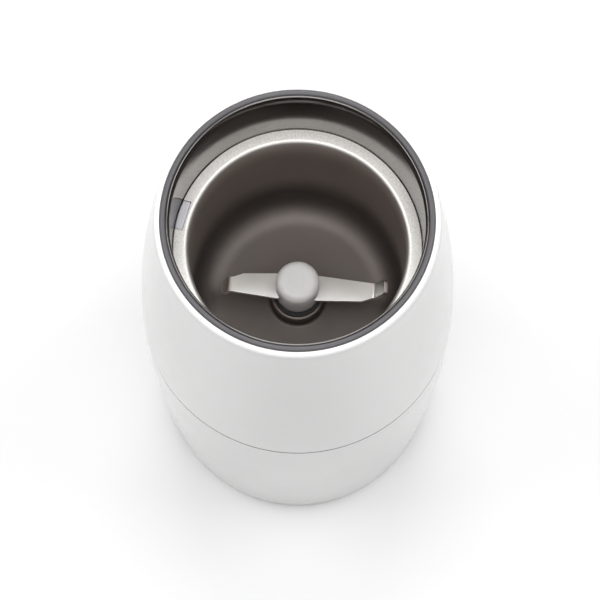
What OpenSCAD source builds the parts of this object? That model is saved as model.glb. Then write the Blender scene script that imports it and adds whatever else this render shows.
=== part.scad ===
// Electric spice grinder: a two-shell barrel body, a steel grinding bowl with a lid collar,
// a lid interlock that works a microswitch, and a small brushed motor that turns the blade.
// Millimetres, +Z up. The origin is the centre of the circle of feet, on the table.
// The front is -Y, the cord leaves at +Y.

/* [Body] */
// Width of the white rim outside the dark ring
rim_w = 1.65; // [1.4:0.05:2.4]
// How much the bottom edge's radius is less than the seam's, which is the widest place
base_taper = 4.9; // [4.2:0.1:5.4]
// Height of the seam above the underside of the motor deck
seam_over = 0.3; // [0.2:0.05:1]
// Wall of the two shells
shell_t = 2.4; // [1.8:0.1:2.8]
// Visible gap between the two shells
seam_gap = 0.3; // [0.2:0.05:0.6]
// Height of the upright land under the rim
rim_land = 1.4; // [1.3:0.1:4]
// Rounding of the rim's outer edge
rim_round = 1.2; // [0.4:0.1:1.3]
// Rounding of the bottom edge
base_round = 2.2; // [1:0.2:3]
// Height of the joint tongue between the shells
tongue_h = 2.6; // [1.6:0.2:4]
// Wall of the joint tongue
tongue_t = 1.2; // [0.8:0.1:1.4]

/* [Rim ring] */
// Gap between the lid collar and the dark ring
ring_gap = 0.08; // [0.04:0.02:0.3]
// Radial width of the dark ring
ring_w = 2.02; // [1.8:0.02:2.4]
// Height of the dark ring
ring_h = 4.6; // [3.6:0.2:6]
// How far the ring stands above the rim
ring_proud = 0.4; // [0.2:0.1:1]

/* [Bowl] */
// Inner radius of the grinding bowl
bowl_r = 31.2; // [28:0.1:35]
// Width of the ledge between the bowl and the lid collar
ledge_w = 4.1; // [3.9:0.05:5]
// Sheet thickness of the collar
collar_t = 0.6; // [0.4:0.05:0.7]
// How far the collar's top edge lies under the rim
collar_sink = 0; // [0:0.1:2]
// Depth of the ledge under the rim
ledge_sink = 24.1; // [21:0.1:28]
// Depth of the bowl under its ledge
bowl_depth = 49.9; // [44:0.1:60]
// Sheet thickness of the bowl
bowl_t = 0.7; // [0.5:0.1:0.8]
// Corner radius between the bowl's wall and floor
bowl_corner = 9; // [6:0.5:10]
// Rounding of the bowl's lip
lip_round = 1.5; // [1:0.1:1.6]
// Radius of the raised boss in the bowl's floor
boss_r = 8; // [7.4:0.1:9]
// Height of the raised boss in the bowl's floor
boss_h = 4; // [3:0.2:5]

/* [Bowl cradle] */
// Wall of the cradle's tube
cradle_t = 1.8; // [1.4:0.1:2]
// Gap between the bowl's wall and the cradle
cradle_gap = 1.6; // [1.3:0.1:1.7]
// Gap between the bowl's floor and the motor deck
floor_gap = 2.3; // [1.5:0.1:4]
// Distance from the cradle to its screws
ear_reach = 5.1; // [5:0.1:6]
// Thickness of the motor deck
deck_t = 2.5; // [2:0.1:3]
// Thickness of the shelf that carries the ledge and the collar
shelf_t = 2.5; // [2:0.1:3.5]

/* [Lid interlock] */
// Direction of the interlock, counted from +X towards the back
lock_az = 164; // [158:1:168]
// Width of the guide behind the push pad
guide_w = 9.6; // [9:0.1:10]
// Width of the push pad
pad_w = 8.7; // [8.2:0.1:9.2]
// Radial depth of the push pad
pad_d = 2.45; // [2.2:0.05:2.45]
// Height of the push pad
pad_h = 4; // [3:0.2:6]
// Push travel of the pad
push = 3; // [2:0.2:3.2]
// Width of the push rod
rod_w = 6; // [5:0.2:7]
// Radial thickness of the push rod
rod_d = 1.6; // [1.4:0.1:1.7]
// Radius of the round lower end of the rod
pin_r = 1.5; // [1.3:0.05:1.6]
// Outer radius of the return spring
spring_r = 2.8; // [2.6:0.1:3]
// Wire diameter of the return spring
spring_wire = 0.6; // [0.4:0.05:0.7]
// Turns of the return spring
spring_turns = 7; // [5:1:8]

/* [Microswitch] */
// Length of the switch body
switch_l = 20; // [19:0.2:21]
// Height of the switch body
switch_h = 10; // [9:0.2:11]
// Thickness of the switch body
switch_t = 6.4; // [5.8:0.1:6.6]
// Distance from the lever's pivot to the push rod
lever_arm = 12; // [11:0.2:13]
// Rest angle of the lever
lever_rest = 15.5; // [15:0.5:17]
// Thickness of the lever
lever_t = 0.4; // [0.3:0.05:0.5]
// Distance from the lever's pivot to the button
button_arm = 4.5; // [4:0.1:5]
// Width of the switch button
button_w = 2; // [1.6:0.1:2.4]

/* [Blade] */
// Direction of the blade's longer tip, counted from +X towards the back
blade_az = -3.7; // [-90:0.1:90]
// Sheet thickness of the blade
blade_t = 1.2; // [1:0.1:1.5]
// Width of a blade arm beside the hub
blade_root_w = 7.6; // [6.8:0.1:8.4]
// Width of a blade arm at its bend
blade_tip_w = 4.5; // [4:0.1:5.2]
// Distance from the shaft to the bend of the raised tip
blade_up_r = 23.1; // [22:0.1:23.4]
// Length of the raised tip
tip_up_l = 6.2; // [4:0.2:6.6]
// Angle of the raised tip
tip_up_angle = 63; // [50:1:75]
// Distance from the shaft to the bend of the lowered tip
blade_down_r = 20.1; // [19:0.1:21]
// Length of the lowered tip
tip_down_l = 4.4; // [3:0.2:5]
// Angle of the lowered tip
tip_down_angle = 65; // [50:1:75]
// Height of the blade above the bowl's floor
blade_up = 10.4; // [9.6:0.1:12]
// Radius of the blade's plastic hub
hub_r = 6.4; // [6:0.1:7]
// Height of the blade's plastic hub
hub_h = 11; // [10.4:0.1:12]
// How much of the hub is above the blade
hub_over = 6.4; // [5:0.1:7]
// Rounding of the hub's top edge
hub_round = 2.2; // [1:0.1:2.6]

/* [Motor] */
// Room between the motor and the bottom cover
base_room = 3; // [2.4:0.1:8]
// Radius of the motor shaft
shaft_r = 3; // [2.5:0.1:3.2]
// Radial running clearance of the shaft in its bushes
running = 0.04; // [0.02:0.01:0.08]
// How much the stator's radius is less than the inside of the bowl's cradle
stator_inset = 4.5; // [4.3:0.1:6]
// Wall of the stator's yoke
yoke_t = 4; // [3.6:0.1:4.2]
// Height of the stator's stack of sheets
stack_h = 24; // [20:0.5:30]
// Height of the room for the brush gear under the stack
brush_space = 19; // [18:0.5:24]
// Room for the field coils between the armature's bore and the yoke
coil_room = 10; // [9.8:0.1:11]
// Air gap between the armature and the pole shoes
air_gap = 0.5; // [0.3:0.05:0.7]
// Thickness of the pole shoes
shoe_t = 2; // [1.6:0.1:2.1]
// Width of the pole necks
neck_w = 14; // [12:0.5:14.5]
// Number of slots in the armature
slot_count = 12; // [8:1:14]
// Thickness of the two bracket plates
bracket_t = 3; // [2.4:0.1:3.2]
// How much the bracket plates' radius is less than the stator's
bracket_inset = 1; // [0.6:0.1:1.4]
// Outer radius of the two shaft bushes
bush_r = 6.5; // [6:0.1:7]
// Length of the two shaft bushes
bush_l = 7.4; // [6:0.2:7.6]
// Radius of the commutator
commutator_r = 8.5; // [7.5:0.1:9]
// Length of the commutator
commutator_l = 9; // [8:0.2:9.6]
// Number of commutator bars
bar_count = 24; // [16:2:28]
// Gap between the cooling fan and the long motor screws
fan_clear = 0.5; // [0.3:0.1:4]
// Height of the cooling fan
fan_h = 8; // [6:0.2:8.4]
// Number of fan blades
fan_blades = 9; // [7:1:12]
// Height of the rubber mounts between the motor and the deck
mount_h = 3; // [2.8:0.1:4]
// Distance of the rubber mounts from the edge of the upper bracket
mount_reach = 3.5; // [3.1:0.1:3.8]

/* [Fixings] */
// Shank radius of the small self-tapping screws
screw_r = 1.4; // [1.2:0.05:1.5]
// Head radius of the small self-tapping screws
head_r = 2.7; // [2.4:0.1:2.8]
// Head height of the small self-tapping screws
head_h = 1.9; // [1.4:0.1:2]
// Play of a screw in its hole
screw_play = 0.06; // [0.04:0.01:0.1]
// Outer radius of the screw bosses in the shells
boss_out_r = 3.6; // [3.4:0.1:3.8]
// Radius of the two long motor screws
bolt_r = 1.5; // [1.4:0.05:1.7]
// Distance of the two long motor screws from the inside of the yoke
bolt_inset = 3; // [2.6:0.1:3.4]

/* [Base] */
// Height of the shells' bottom edge above the table
foot_h = 1.5; // [1:0.1:2.5]
// Radius of the rubber feet
foot_r = 5.5; // [4.5:0.1:6]
// Distance of the feet's middles from the bottom edge
foot_inset = 11.3; // [10.8:0.1:13]
// Thickness of the bottom cover
cover_t = 2.5; // [2:0.1:3]
// Distance of the cover's screws from the bottom edge
cover_screw_inset = 7.7; // [7.3:0.1:8.2]
// Length of a vent slot
vent_l = 13; // [8:0.5:14]
// Width of a vent slot
vent_w = 2; // [1.2:0.1:2.4]
// Number of vent slots in the bottom cover
vent_count = 16; // [10:1:18]
// Height of the cord's inlet above the table
inlet_z = 15; // [13:0.5:22]
// Inner radius of the cord's gland
gland_bore_r = 3.2; // [3:0.1:3.6]
// Length of the cord's gland
gland_l = 13.6; // [11:0.1:14]
// Wall of the cord's gland
gland_t = 1.6; // [1.2:0.1:1.8]
// Outer radius of the gland's flange
gland_flange_r = 6.6; // [6:0.1:7]

/* [Hidden] */

// Facets of ordinary round parts and of the barrel's large arcs, in the preview
$fn = 72;
arc_fn = 360;
// Play between pieces that are assembled, and a nudge that carries a cut past a face
play = 0.2;
eps = 0.05;

// Heights, stacked up from the table: cover, motor, deck, bowl, collar
bottom_z = foot_h;
lower_cup_h = 5;
upper_cup_h = 6;
overhang = 5.5;
fan_gap = 2.5;
shaft_z = bottom_z + cover_t + base_room;
lower_plate_z = shaft_z + lower_cup_h;
stack_z = lower_plate_z + bracket_t + brush_space;
fan_z = stack_z + stack_h + overhang + fan_gap;
bracket_z = fan_z + fan_h + 2 + upper_cup_h;
deck_under_z = bracket_z + bracket_t + mount_h;
deck_z = deck_under_z + deck_t;
seam_z = deck_under_z + seam_over;
floor_z = deck_z + floor_gap + bowl_t;
ledge_z = floor_z + bowl_depth;
rim_z = ledge_z + ledge_sink;
shelf_z = ledge_z - bowl_t;
collar_top_z = rim_z - collar_sink;
collar_chamfer = 0.3;
ring_z = rim_z + ring_proud - ring_h;
blade_z = floor_z + blade_up;
hub_top_z = blade_z + blade_t + hub_over;
hub_z = hub_top_z - hub_h;

// Radii, counted out from the bowl: collar, ring and rim, then cradle, screws and shells
collar_r = bowl_r + ledge_w;
ring_in_r = collar_r + collar_t + ring_gap;
ring_r = ring_in_r + ring_w;
rim_r = ring_r + rim_w;
cradle_r = bowl_r + bowl_t + cradle_gap;
cradle_out_r = cradle_r + cradle_t;
boss_sink = 0.2;
boss_ring_r = cradle_out_r + ear_reach;
body_r = boss_ring_r + boss_out_r + shell_t - boss_sink;
base_r = body_r - base_taper;
cover_ring_r = base_r - cover_screw_inset;
foot_ring_r = base_r - foot_inset;
stator_r = cradle_r - stator_inset;
bracket_r = stator_r - bracket_inset;
mount_r = bracket_r + mount_reach;

// Barrel: each half is an arc that is upright at the seam
upper_drop = body_r - rim_r;
upper_rise = rim_z - rim_land - seam_z;
upper_arc_r = (upper_rise * upper_rise + upper_drop * upper_drop) / (2 * upper_drop);
lower_drop = body_r - base_r;
lower_rise = seam_z - bottom_z;
lower_arc_r = (lower_rise * lower_rise + lower_drop * lower_drop) / (2 * lower_drop);
function wall_r(z) = z > seam_z
  ? body_r - upper_arc_r + sqrt(upper_arc_r * upper_arc_r - pow(z - seam_z, 2))
  : body_r - lower_arc_r + sqrt(lower_arc_r * lower_arc_r - pow(z - seam_z, 2));

// Ring and its seat in the upper shell
ring_seat_r = ring_r + eps;
seat_t = 2;
seat_in_r = collar_r + collar_t + 0.3;

// Screw directions
lock_clear = lock_az - 34;
cradle_az = [for (i = [0:2]) lock_clear - 120 * i];
shell_az = [for (i = [0:2]) lock_clear - 60 - 120 * i];
mount_az = [for (i = [0:2]) lock_clear - 30 - 120 * i];
cover_az = [0, 180, 270];
foot_az = [45, 135, 225, 315];
boss_hole_r = screw_r + screw_play;
cradle_boss_h = 13;
shell_boss_h = 12;
shell_post_h = 14;
screw_l = 10;
cover_head_h = head_h - 0.6;
ear_r = boss_out_r - 0.7;

// Motor
cup_t = 2;
bush_up = 0.6;
lower_bush_z = shaft_z + bush_up;
upper_bush_z = bracket_z - upper_cup_h + bush_up;
shaft_top_z = hub_top_z - 3;
commutator_z = lower_plate_z + bracket_t + 4;
riser_t = 1.2;
brush_z = commutator_z + commutator_l / 2;
yoke_in_r = stator_r - yoke_t;
bolt_ring_r = yoke_in_r - bolt_inset;
bore_r = yoke_in_r - coil_room;
armature_r = bore_r - air_gap;
fan_r = bolt_ring_r - bolt_r - fan_clear;
leg_w = 12;

// Brush gear
brush_w = 5;
brush_h = 6.4;
brush_l = 7;
holder_t = 1.2;
holder_in_r = commutator_r + 1.4;
holder_out_r = bracket_r - 2;
brush_rub = 0.03;
cap_t = 1.2;

// Lid interlock, in a frame turned to lock_az: x is radial, y tangential
pad_in_r = collar_r - play / 2 - pad_d;
rod_in_r = cradle_r + play / 2;
rod_x = rod_in_r + rod_d / 2;
rod_bottom_z = deck_z + push + 0.5;
clip_t = 1;
clip_z = deck_under_z - 0.3 - clip_t;
clip_r = 3.3;
spring_seat_z = clip_z - 12.7;
switch_top_z = spring_seat_z - 14;
pivot_y = lever_arm;
pivot_z = switch_top_z + 0.8;
lever_top = pivot_z + lever_arm * tan(lever_rest) + lever_t / 2 / cos(lever_rest);
pin_tip_r = 0.6;
pin_bottom_z = lever_top + pin_tip_r * tan(lever_rest) + 0.15;
switch_y = pivot_y + 1.5 - switch_l;
switch_x = rod_x - switch_t / 2;
button_top_z = pivot_z + (button_arm - button_w / 2) * tan(lever_rest) - lever_t / 2 / cos(lever_rest) - 0.1;
switch_hole_y = [switch_y + 5, switch_y + 14.5];
switch_hole_z = switch_top_z - switch_h + 2.6;
back_x = switch_x + switch_t;
back_x0 = collar_r + collar_t + play / 2;
back_t = 1.2;
bracket_plate_t = 2;
bracket_screw_x = rod_x - 3.8;
bracket_screw_y = [-8, 8];

// Flat seat of the gland's flange, sunk into the lower shell
gland_flange_t = 1.8;
gland_seat_y = wall_r(inlet_z) - gland_flange_t / 2;

white = [0.93, 0.93, 0.92];
dark_grey = [0.3, 0.3, 0.32];
steel = [0.75, 0.74, 0.72];
mid_grey = [0.6, 0.61, 0.64];

// ---------------------------------------------------------------- helpers

module at_polar(angles, r, z = 0) {
  for (a = angles) rotate([0, 0, a]) translate([r, 0, z]) children();
}

module at_lock() {
  rotate([0, 0, lock_az]) children();
}

// Half-profile of the barrel between two heights, shrunk by inset
module barrel_2d(z0, z1, inset = 0) {
  if (z1 > seam_z) intersection() {
    translate([body_r - upper_arc_r, seam_z]) circle(r = upper_arc_r - inset, $fn = arc_fn);
    translate([0, max(z0, seam_z)]) square([body_r, z1 - max(z0, seam_z)]);
  }
  if (z0 < seam_z) intersection() {
    translate([body_r - lower_arc_r, seam_z]) circle(r = lower_arc_r - inset, $fn = arc_fn);
    translate([0, z0]) square([body_r, min(z1, seam_z) - z0]);
  }
}

// Half-profile of a cup's inside with a rounded floor corner
module cup_2d(r, z0, z1, corner) {
  translate([0, z0 + corner]) square([r, z1 - z0 - corner]);
  translate([0, z0]) square([r - corner, corner + eps]);
  translate([r - corner, z0 + corner]) intersection() {
    circle(r = corner);
    translate([0, -corner]) square([corner, corner + eps]);
  }
}

// Screw boss with a web that joins it to the wall outside it, grown by clearance
module boss_2d(clearance = 0) {
  web_w = 2 * boss_out_r - 0.8;
  circle(r = boss_out_r + clearance);
  translate([0, -web_w / 2 - clearance]) square([body_r - boss_ring_r, web_w + 2 * clearance]);
}

module tube(r_out, r_in, h) {
  difference() {
    cylinder(r = r_out, h = h);
    translate([0, 0, -1]) cylinder(r = r_in, h = h + 2);
  }
}

// Part of a tube that is w wide, on the +X side
module tube_leg(r_out, r_in, h, w) {
  intersection() {
    tube(r_out, r_in, h);
    translate([0, -w / 2, -1]) cube([r_out + 1, w, h + 2]);
  }
}

// Screw that points up, with its head below z = 0
module screw_up(r, l, head_radius, head_height) {
  cylinder(r = r, h = l - r);
  translate([0, 0, l - r]) cylinder(r1 = r, r2 = r * 0.4, h = r);
  translate([0, 0, -head_height]) difference() {
    union() {
      translate([0, 0, head_height * 0.4]) cylinder(r = head_radius, h = head_height * 0.6);
      cylinder(r1 = head_radius * 0.75, r2 = head_radius, h = head_height * 0.4);
    }
    for (a = [0, 90]) rotate([0, 0, a])
      translate([-head_radius * 0.6, -0.35, -1]) cube([head_radius * 1.2, 0.7, 1 + head_height / 2]);
  }
}

// Rounded bar along X, with its middle at the origin
module slot_bar(l, w, h) {
  translate([-l / 2 + w / 2, -w / 2, 0]) cube([l - w, w, h]);
  for (s = [-1, 1]) translate([s * (l - w) / 2, 0, 0]) cylinder(d = w, h = h);
}

// Points and faces of a wire that winds up a helix, with flat ends
function helix_point(mean_r, rise, turns, steps, sides, wire, i, j) =
  let (t = 360 * turns * i / steps, a = 360 * j / sides, rr = mean_r + wire / 2 * cos(a))
  [rr * cos(t), rr * sin(t), rise * i / steps + wire / 2 * sin(a)];

module helix(mean_r, rise, turns, wire, per_turn = 20, sides = 6) {
  steps = turns * per_turn;
  points = [for (i = [0:steps]) for (j = [0:sides - 1])
    helix_point(mean_r, rise, turns, steps, sides, wire, i, j)];
  skin = [for (i = [0:steps - 1]) for (j = [0:sides - 1])
    let (a = i * sides + j, b = i * sides + (j + 1) % sides) [a, a + sides, b + sides, b]];
  ends = [[for (j = [0:sides - 1]) j], [for (j = [sides - 1:-1:0]) steps * sides + j]];
  polyhedron(points = points, faces = concat(skin, ends), convexity = 8);
}

// Coil spring standing on z = 0 whose wire just fits between its seats
module coil_spring(outer_r, height, turns, wire) {
  translate([0, 0, wire / 2]) helix(outer_r - wire / 2, height - wire, turns, wire);
}

// ---------------------------------------------------------------- housing

module upper_housing() color(white) difference() {
  union() {
    rotate_extrude() difference() {
      union() {
        barrel_2d(seam_z + seam_gap / 2, rim_z - rim_round - eps);
        translate([0, rim_z - rim_land - 1]) square([rim_r, rim_land + 1 - rim_round]);
        translate([0, rim_z - rim_round - eps]) square([rim_r - rim_round, rim_round + eps]);
        translate([rim_r - rim_round, rim_z - rim_round]) intersection() {
          circle(r = rim_round);
          translate([0, -eps]) square([rim_round, rim_round + eps]);
        }
      }
      // room inside, below the ring's seat, and the bore that takes the ring
      barrel_2d(seam_z - 1, ring_z - seat_t, shell_t);
      translate([0, ring_z]) square([ring_seat_r, ring_h]);
      translate([0, ring_z - seat_t - eps]) square([seat_in_r, seat_t + 2 * eps]);
    }
    intersection() {
      union() {
        at_polar(cradle_az, boss_ring_r, deck_z) linear_extrude(cradle_boss_h) boss_2d();
        at_polar(shell_az, boss_ring_r, seam_z + seam_gap / 2)
          linear_extrude(shell_boss_h) boss_2d();
      }
      rotate_extrude() barrel_2d(seam_z, ring_z, shell_t / 2);
    }
  }
  at_polar(cradle_az, boss_ring_r, deck_z - 1) cylinder(r = boss_hole_r, h = screw_l);
  at_polar(shell_az, boss_ring_r, seam_z - 1) cylinder(r = boss_hole_r, h = screw_l + 1);
}

module lower_housing() color(white) {
  tongue_out_r = body_r - shell_t - play / 2;
  tongue_root_h = 1.6;
  base_hole_r = base_r - shell_t;
  difference() {
    union() {
      rotate_extrude() difference() {
        union() {
          barrel_2d(bottom_z + base_round, seam_z - seam_gap / 2);
          translate([0, bottom_z]) square([wall_r(bottom_z + base_round) - base_round, base_round + eps]);
          translate([wall_r(bottom_z + base_round) - base_round, bottom_z + base_round])
            circle(r = base_round);
        }
        barrel_2d(bottom_z + cover_t, seam_z, shell_t);
        translate([0, bottom_z - eps]) square([base_hole_r, cover_t + 2 * eps]);
      }
      // tongue that centres the upper shell, with room for its bosses
      difference() {
        translate([0, 0, seam_z - 4]) tube(tongue_out_r, tongue_out_r - tongue_t, 4 + tongue_h);
        at_polar(concat(shell_az, cradle_az), boss_ring_r, deck_under_z - head_h - play)
          linear_extrude(tongue_h + 4) boss_2d(play);
      }
      translate([0, 0, seam_z - 4]) tube(tongue_out_r + play, tongue_out_r - tongue_t, tongue_root_h);
      intersection() {
        union() {
          at_polar(shell_az, boss_ring_r, seam_z - seam_gap / 2 - shell_post_h)
            linear_extrude(shell_post_h) boss_2d();
          at_polar(cover_az, cover_ring_r, bottom_z + cover_t)
            union() {
              cylinder(r = boss_out_r, h = shell_post_h);
              translate([0, -1.2, 0]) cube([base_r - cover_ring_r, 2.4, shell_post_h]);
            }
        }
        rotate_extrude() barrel_2d(bottom_z, seam_z - seam_gap / 2, shell_t / 2);
      }
    }
    at_polar(shell_az, boss_ring_r, seam_z - 1 - shell_post_h)
      cylinder(r = boss_hole_r + play, h = shell_post_h + 2);
    at_polar(cover_az, cover_ring_r, bottom_z) cylinder(r = boss_hole_r, h = screw_l + 1);
    // hole and flat seat for the cord's gland, at the back
    translate([0, 0, inlet_z]) rotate([-90, 0, 0]) {
      translate([0, 0, cover_ring_r])
        cylinder(r = gland_bore_r + gland_t + running, h = body_r - cover_ring_r);
      translate([0, 0, gland_seat_y]) cylinder(r = gland_flange_r + play, h = 10);
    }
  }
}

module bottom_cover() color(white) {
  cover_r = base_r - shell_t - play;
  rib_r = foot_ring_r - 5;
  rib_t = 1.4;
  groove_w = 0.8;
  difference() {
    union() {
      translate([0, 0, bottom_z]) cylinder(r = cover_r, h = cover_t);
      // ring rib under the motor and cups round the feet
      translate([0, 0, bottom_z + cover_t - eps]) tube(rib_r + rib_t, rib_r, 2);
      at_polar(foot_az, foot_ring_r, bottom_z + cover_t - eps) cylinder(r = foot_r + 1, h = 1);
    }
    for (i = [0:vent_count - 1]) rotate([0, 0, 360 * (i + 0.5) / vent_count])
      translate([rib_r - 2 - vent_l / 2, 0, bottom_z - 1]) slot_bar(vent_l, vent_w, cover_t + 2);
    at_polar(foot_az, foot_ring_r, bottom_z - eps) cylinder(r = foot_r + play / 2, h = 1.6 + eps);
    at_polar(cover_az, cover_ring_r, bottom_z - eps) {
      cylinder(r = boss_hole_r + play, h = cover_t + 1);
      cylinder(r = head_r + play, h = cover_head_h + eps);
    }
    // locating ring groove round the vents
    translate([0, 0, bottom_z - eps]) tube(rib_r, rib_r - groove_w, 0.5);
  }
}

module rubber_feet() color(dark_grey) {
  foot_sink = 1.6;
  at_polar(foot_az, foot_ring_r) rotate_extrude() difference() {
    square([foot_r, foot_h + foot_sink]);
    translate([foot_r, 0]) rotate(45) square([0.9, 0.9], center = true);
  }
}

module rim_ring() color(dark_grey) rotate_extrude() {
  bead_r = ring_w / 2;
  translate([ring_in_r, ring_z]) square([ring_w, ring_h - bead_r]);
  translate([ring_r - bead_r, ring_z + ring_h - bead_r]) circle(r = bead_r);
}

module cord_gland() color(dark_grey) translate([0, 0, inlet_z]) rotate([-90, 0, 0]) difference() {
  gland_r = gland_bore_r + gland_t;
  gland_in_y = gland_seat_y + gland_flange_t - gland_l;
  barb_y = wall_r(inlet_z - gland_flange_r) - shell_t - 0.7;
  union() {
    translate([0, 0, gland_in_y]) cylinder(r = gland_r, h = gland_l);
    translate([0, 0, gland_seat_y]) cylinder(r = gland_flange_r, h = gland_flange_t / 2);
    translate([0, 0, gland_seat_y + gland_flange_t / 2])
      cylinder(r1 = gland_flange_r, r2 = gland_flange_r - 0.7, h = gland_flange_t / 2);
    translate([0, 0, barb_y - 3]) cylinder(r1 = gland_r, r2 = gland_r + 1, h = 3);
  }
  translate([0, 0, gland_in_y - 1]) cylinder(r = gland_bore_r, h = body_r);
}

// ---------------------------------------------------------------- bowl and collar

module steel_collar() color(steel) rotate_extrude() {
  difference() {
    translate([collar_r, ledge_z]) square([collar_t, collar_top_z - ledge_z - collar_t / 2]);
    translate([collar_r, ledge_z]) rotate(45) square(collar_chamfer * sqrt(2), center = true);
  }
  translate([collar_r + collar_t / 2, collar_top_z - collar_t / 2]) circle(d = collar_t, $fn = 24);
}

module grinding_bowl() color(steel) {
  lip_r = bowl_r + lip_round;
  lip_z = ledge_z - lip_round;
  seal_hole_r = 6.05;
  difference() {
    rotate_extrude() {
      // wall and floor, then the rolled lip, then the ledge
      difference() {
        cup_2d(bowl_r + bowl_t, floor_z - bowl_t, lip_z, bowl_corner + bowl_t);
        cup_2d(bowl_r, floor_z, lip_z + 1, bowl_corner);
      }
      intersection() {
        translate([lip_r, lip_z]) difference() {
          circle(r = lip_round);
          circle(r = lip_round - bowl_t);
        }
        translate([bowl_r, lip_z - eps]) square([lip_round, lip_round + eps]);
      }
      translate([lip_r - eps, shelf_z]) square([collar_r + collar_t - lip_r + eps, bowl_t]);
    }
    translate([0, 0, floor_z - bowl_t - 1]) cylinder(r = boss_r - bowl_t, h = bowl_t + 2);
    at_lock() {
      translate([pad_in_r - play / 2, -(pad_w + play) / 2, shelf_z - 1])
        cube([collar_r, pad_w + play, bowl_t + 2]);
      translate([collar_r, -guide_w / 2, shelf_z - 1]) cube([collar_r, guide_w, bowl_t + 2]);
    }
  }
  // boss that lifts the shaft's seal off the floor
  translate([0, 0, floor_z - bowl_t]) difference() {
    tube(boss_r, seal_hole_r, boss_h + bowl_t);
    translate([0, 0, -1]) cylinder(r = boss_r - bowl_t, h = boss_h + 1);
  }
}

module bowl_cradle() color(mid_grey) {
  shelf_r = collar_r + collar_t + 1.4;
  deck_r = max(cradle_out_r, mount_r + boss_out_r);
  shaft_hole_r = 7.4;
  seat_ring_r = 18;
  guide_ear_w = 8;
  difference() {
    union() {
      // motor deck with ears for the screws and one under the guide, which holds the pin's bore
      translate([0, 0, deck_under_z]) linear_extrude(deck_t) {
        circle(r = deck_r);
        at_polar(cradle_az, 0) {
          translate([cradle_r, -ear_r]) square([boss_ring_r - cradle_r, 2 * ear_r]);
          translate([boss_ring_r, 0]) circle(r = ear_r);
        }
        rotate(lock_az) translate([cradle_r, -guide_ear_w / 2])
          square([back_x0 + back_t + 0.6 - cradle_r, guide_ear_w]);
      }
      translate([0, 0, deck_under_z]) tube(cradle_out_r, cradle_r, shelf_z - deck_under_z);
      translate([0, 0, shelf_z - shelf_t]) tube(shelf_r, bowl_r + lip_round + play / 2, shelf_t);
      // ring that the bowl's floor rests on
      translate([0, 0, deck_z - eps]) tube(seat_ring_r + 3, seat_ring_r, floor_z - bowl_t - deck_z + eps);
      at_polar(mount_az, mount_r, deck_z - eps) cylinder(r = boss_out_r, h = 3);
    }
    translate([0, 0, deck_under_z - 1]) cylinder(r = shaft_hole_r, h = deck_t + 2);
    at_polar(cradle_az, boss_ring_r, deck_under_z - 1) cylinder(r = boss_hole_r + play, h = deck_t + 2);
    at_polar(mount_az, mount_r, deck_under_z - 1) cylinder(r = boss_hole_r, h = deck_t + 3.5);
    at_lock() {
      // channel for the rod, the pad and the guide
      translate([cradle_r - 1, -guide_w / 2 - play / 2, deck_z + play])
        cube([10, guide_w + play, shelf_z - deck_z + 1]);
      translate([pad_in_r - play, -pad_w / 2 - play / 2, shelf_z - shelf_t - 1])
        cube([10, pad_w + play, shelf_t + 2]);
      translate([rod_x, 0, deck_under_z - 1]) cylinder(r = pin_r + running, h = deck_t + 2);
      for (y = bracket_screw_y) translate([bracket_screw_x, y, deck_under_z - 1])
        cylinder(r = boss_hole_r, h = deck_t + 0.4);
    }
  }
}

// ---------------------------------------------------------------- lid interlock

module plunger_guide() color(mid_grey) at_lock() {
  wing_w = 1.4;
  rail_w = guide_w - play;
  rail_x = collar_r + 0.4;
  rail_z = ledge_z - push - pad_h;
  guide_top_z = ring_z - seat_t - play;
  // rail behind the pad's travel, on whose top the collar's edge rests
  translate([rail_x, -rail_w / 2, rail_z]) cube([back_x0 - rail_x + eps, rail_w, ledge_z - rail_z]);
  // back, from the cradle's deck to the ring's seat, with wings behind the collar
  translate([back_x0, -rail_w / 2, deck_z]) cube([back_t, rail_w, guide_top_z - deck_z]);
  translate([back_x0, -rail_w / 2 - wing_w, shelf_z + play])
    cube([back_t, rail_w + 2 * wing_w, guide_top_z - shelf_z - play]);
}

module interlock_plunger() color([0.66, 0.68, 0.72]) at_lock() {
  intersection() {
    translate([pad_in_r, -pad_w / 2, ledge_z - pad_h]) cube([pad_d + 1, pad_w, pad_h]);
    translate([0, 0, ledge_z - pad_h - 1]) cylinder(r = collar_r - play / 2, h = pad_h + 2);
  }
  translate([rod_in_r, -rod_w / 2, rod_bottom_z]) cube([rod_d, rod_w, ledge_z - pad_h - rod_bottom_z + eps]);
  translate([rod_x, 0, pin_bottom_z]) cylinder(r1 = pin_tip_r, r2 = pin_r, h = 1);
  translate([rod_x, 0, pin_bottom_z + 1]) cylinder(r = pin_r, h = rod_bottom_z - pin_bottom_z - 1 + eps);
}

module plunger_clip() color(steel) at_lock() translate([rod_x, 0, clip_z]) difference() {
  tube(clip_r, pin_r + running / 2, clip_t);
  translate([0, -pin_r * 0.7, -1]) cube([clip_r + 1, pin_r * 1.4, clip_t + 2]);
}

module plunger_spring() color(steel) at_lock() translate([rod_x, 0, spring_seat_z])
  coil_spring(spring_r, clip_z - spring_seat_z, spring_turns, spring_wire);

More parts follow.
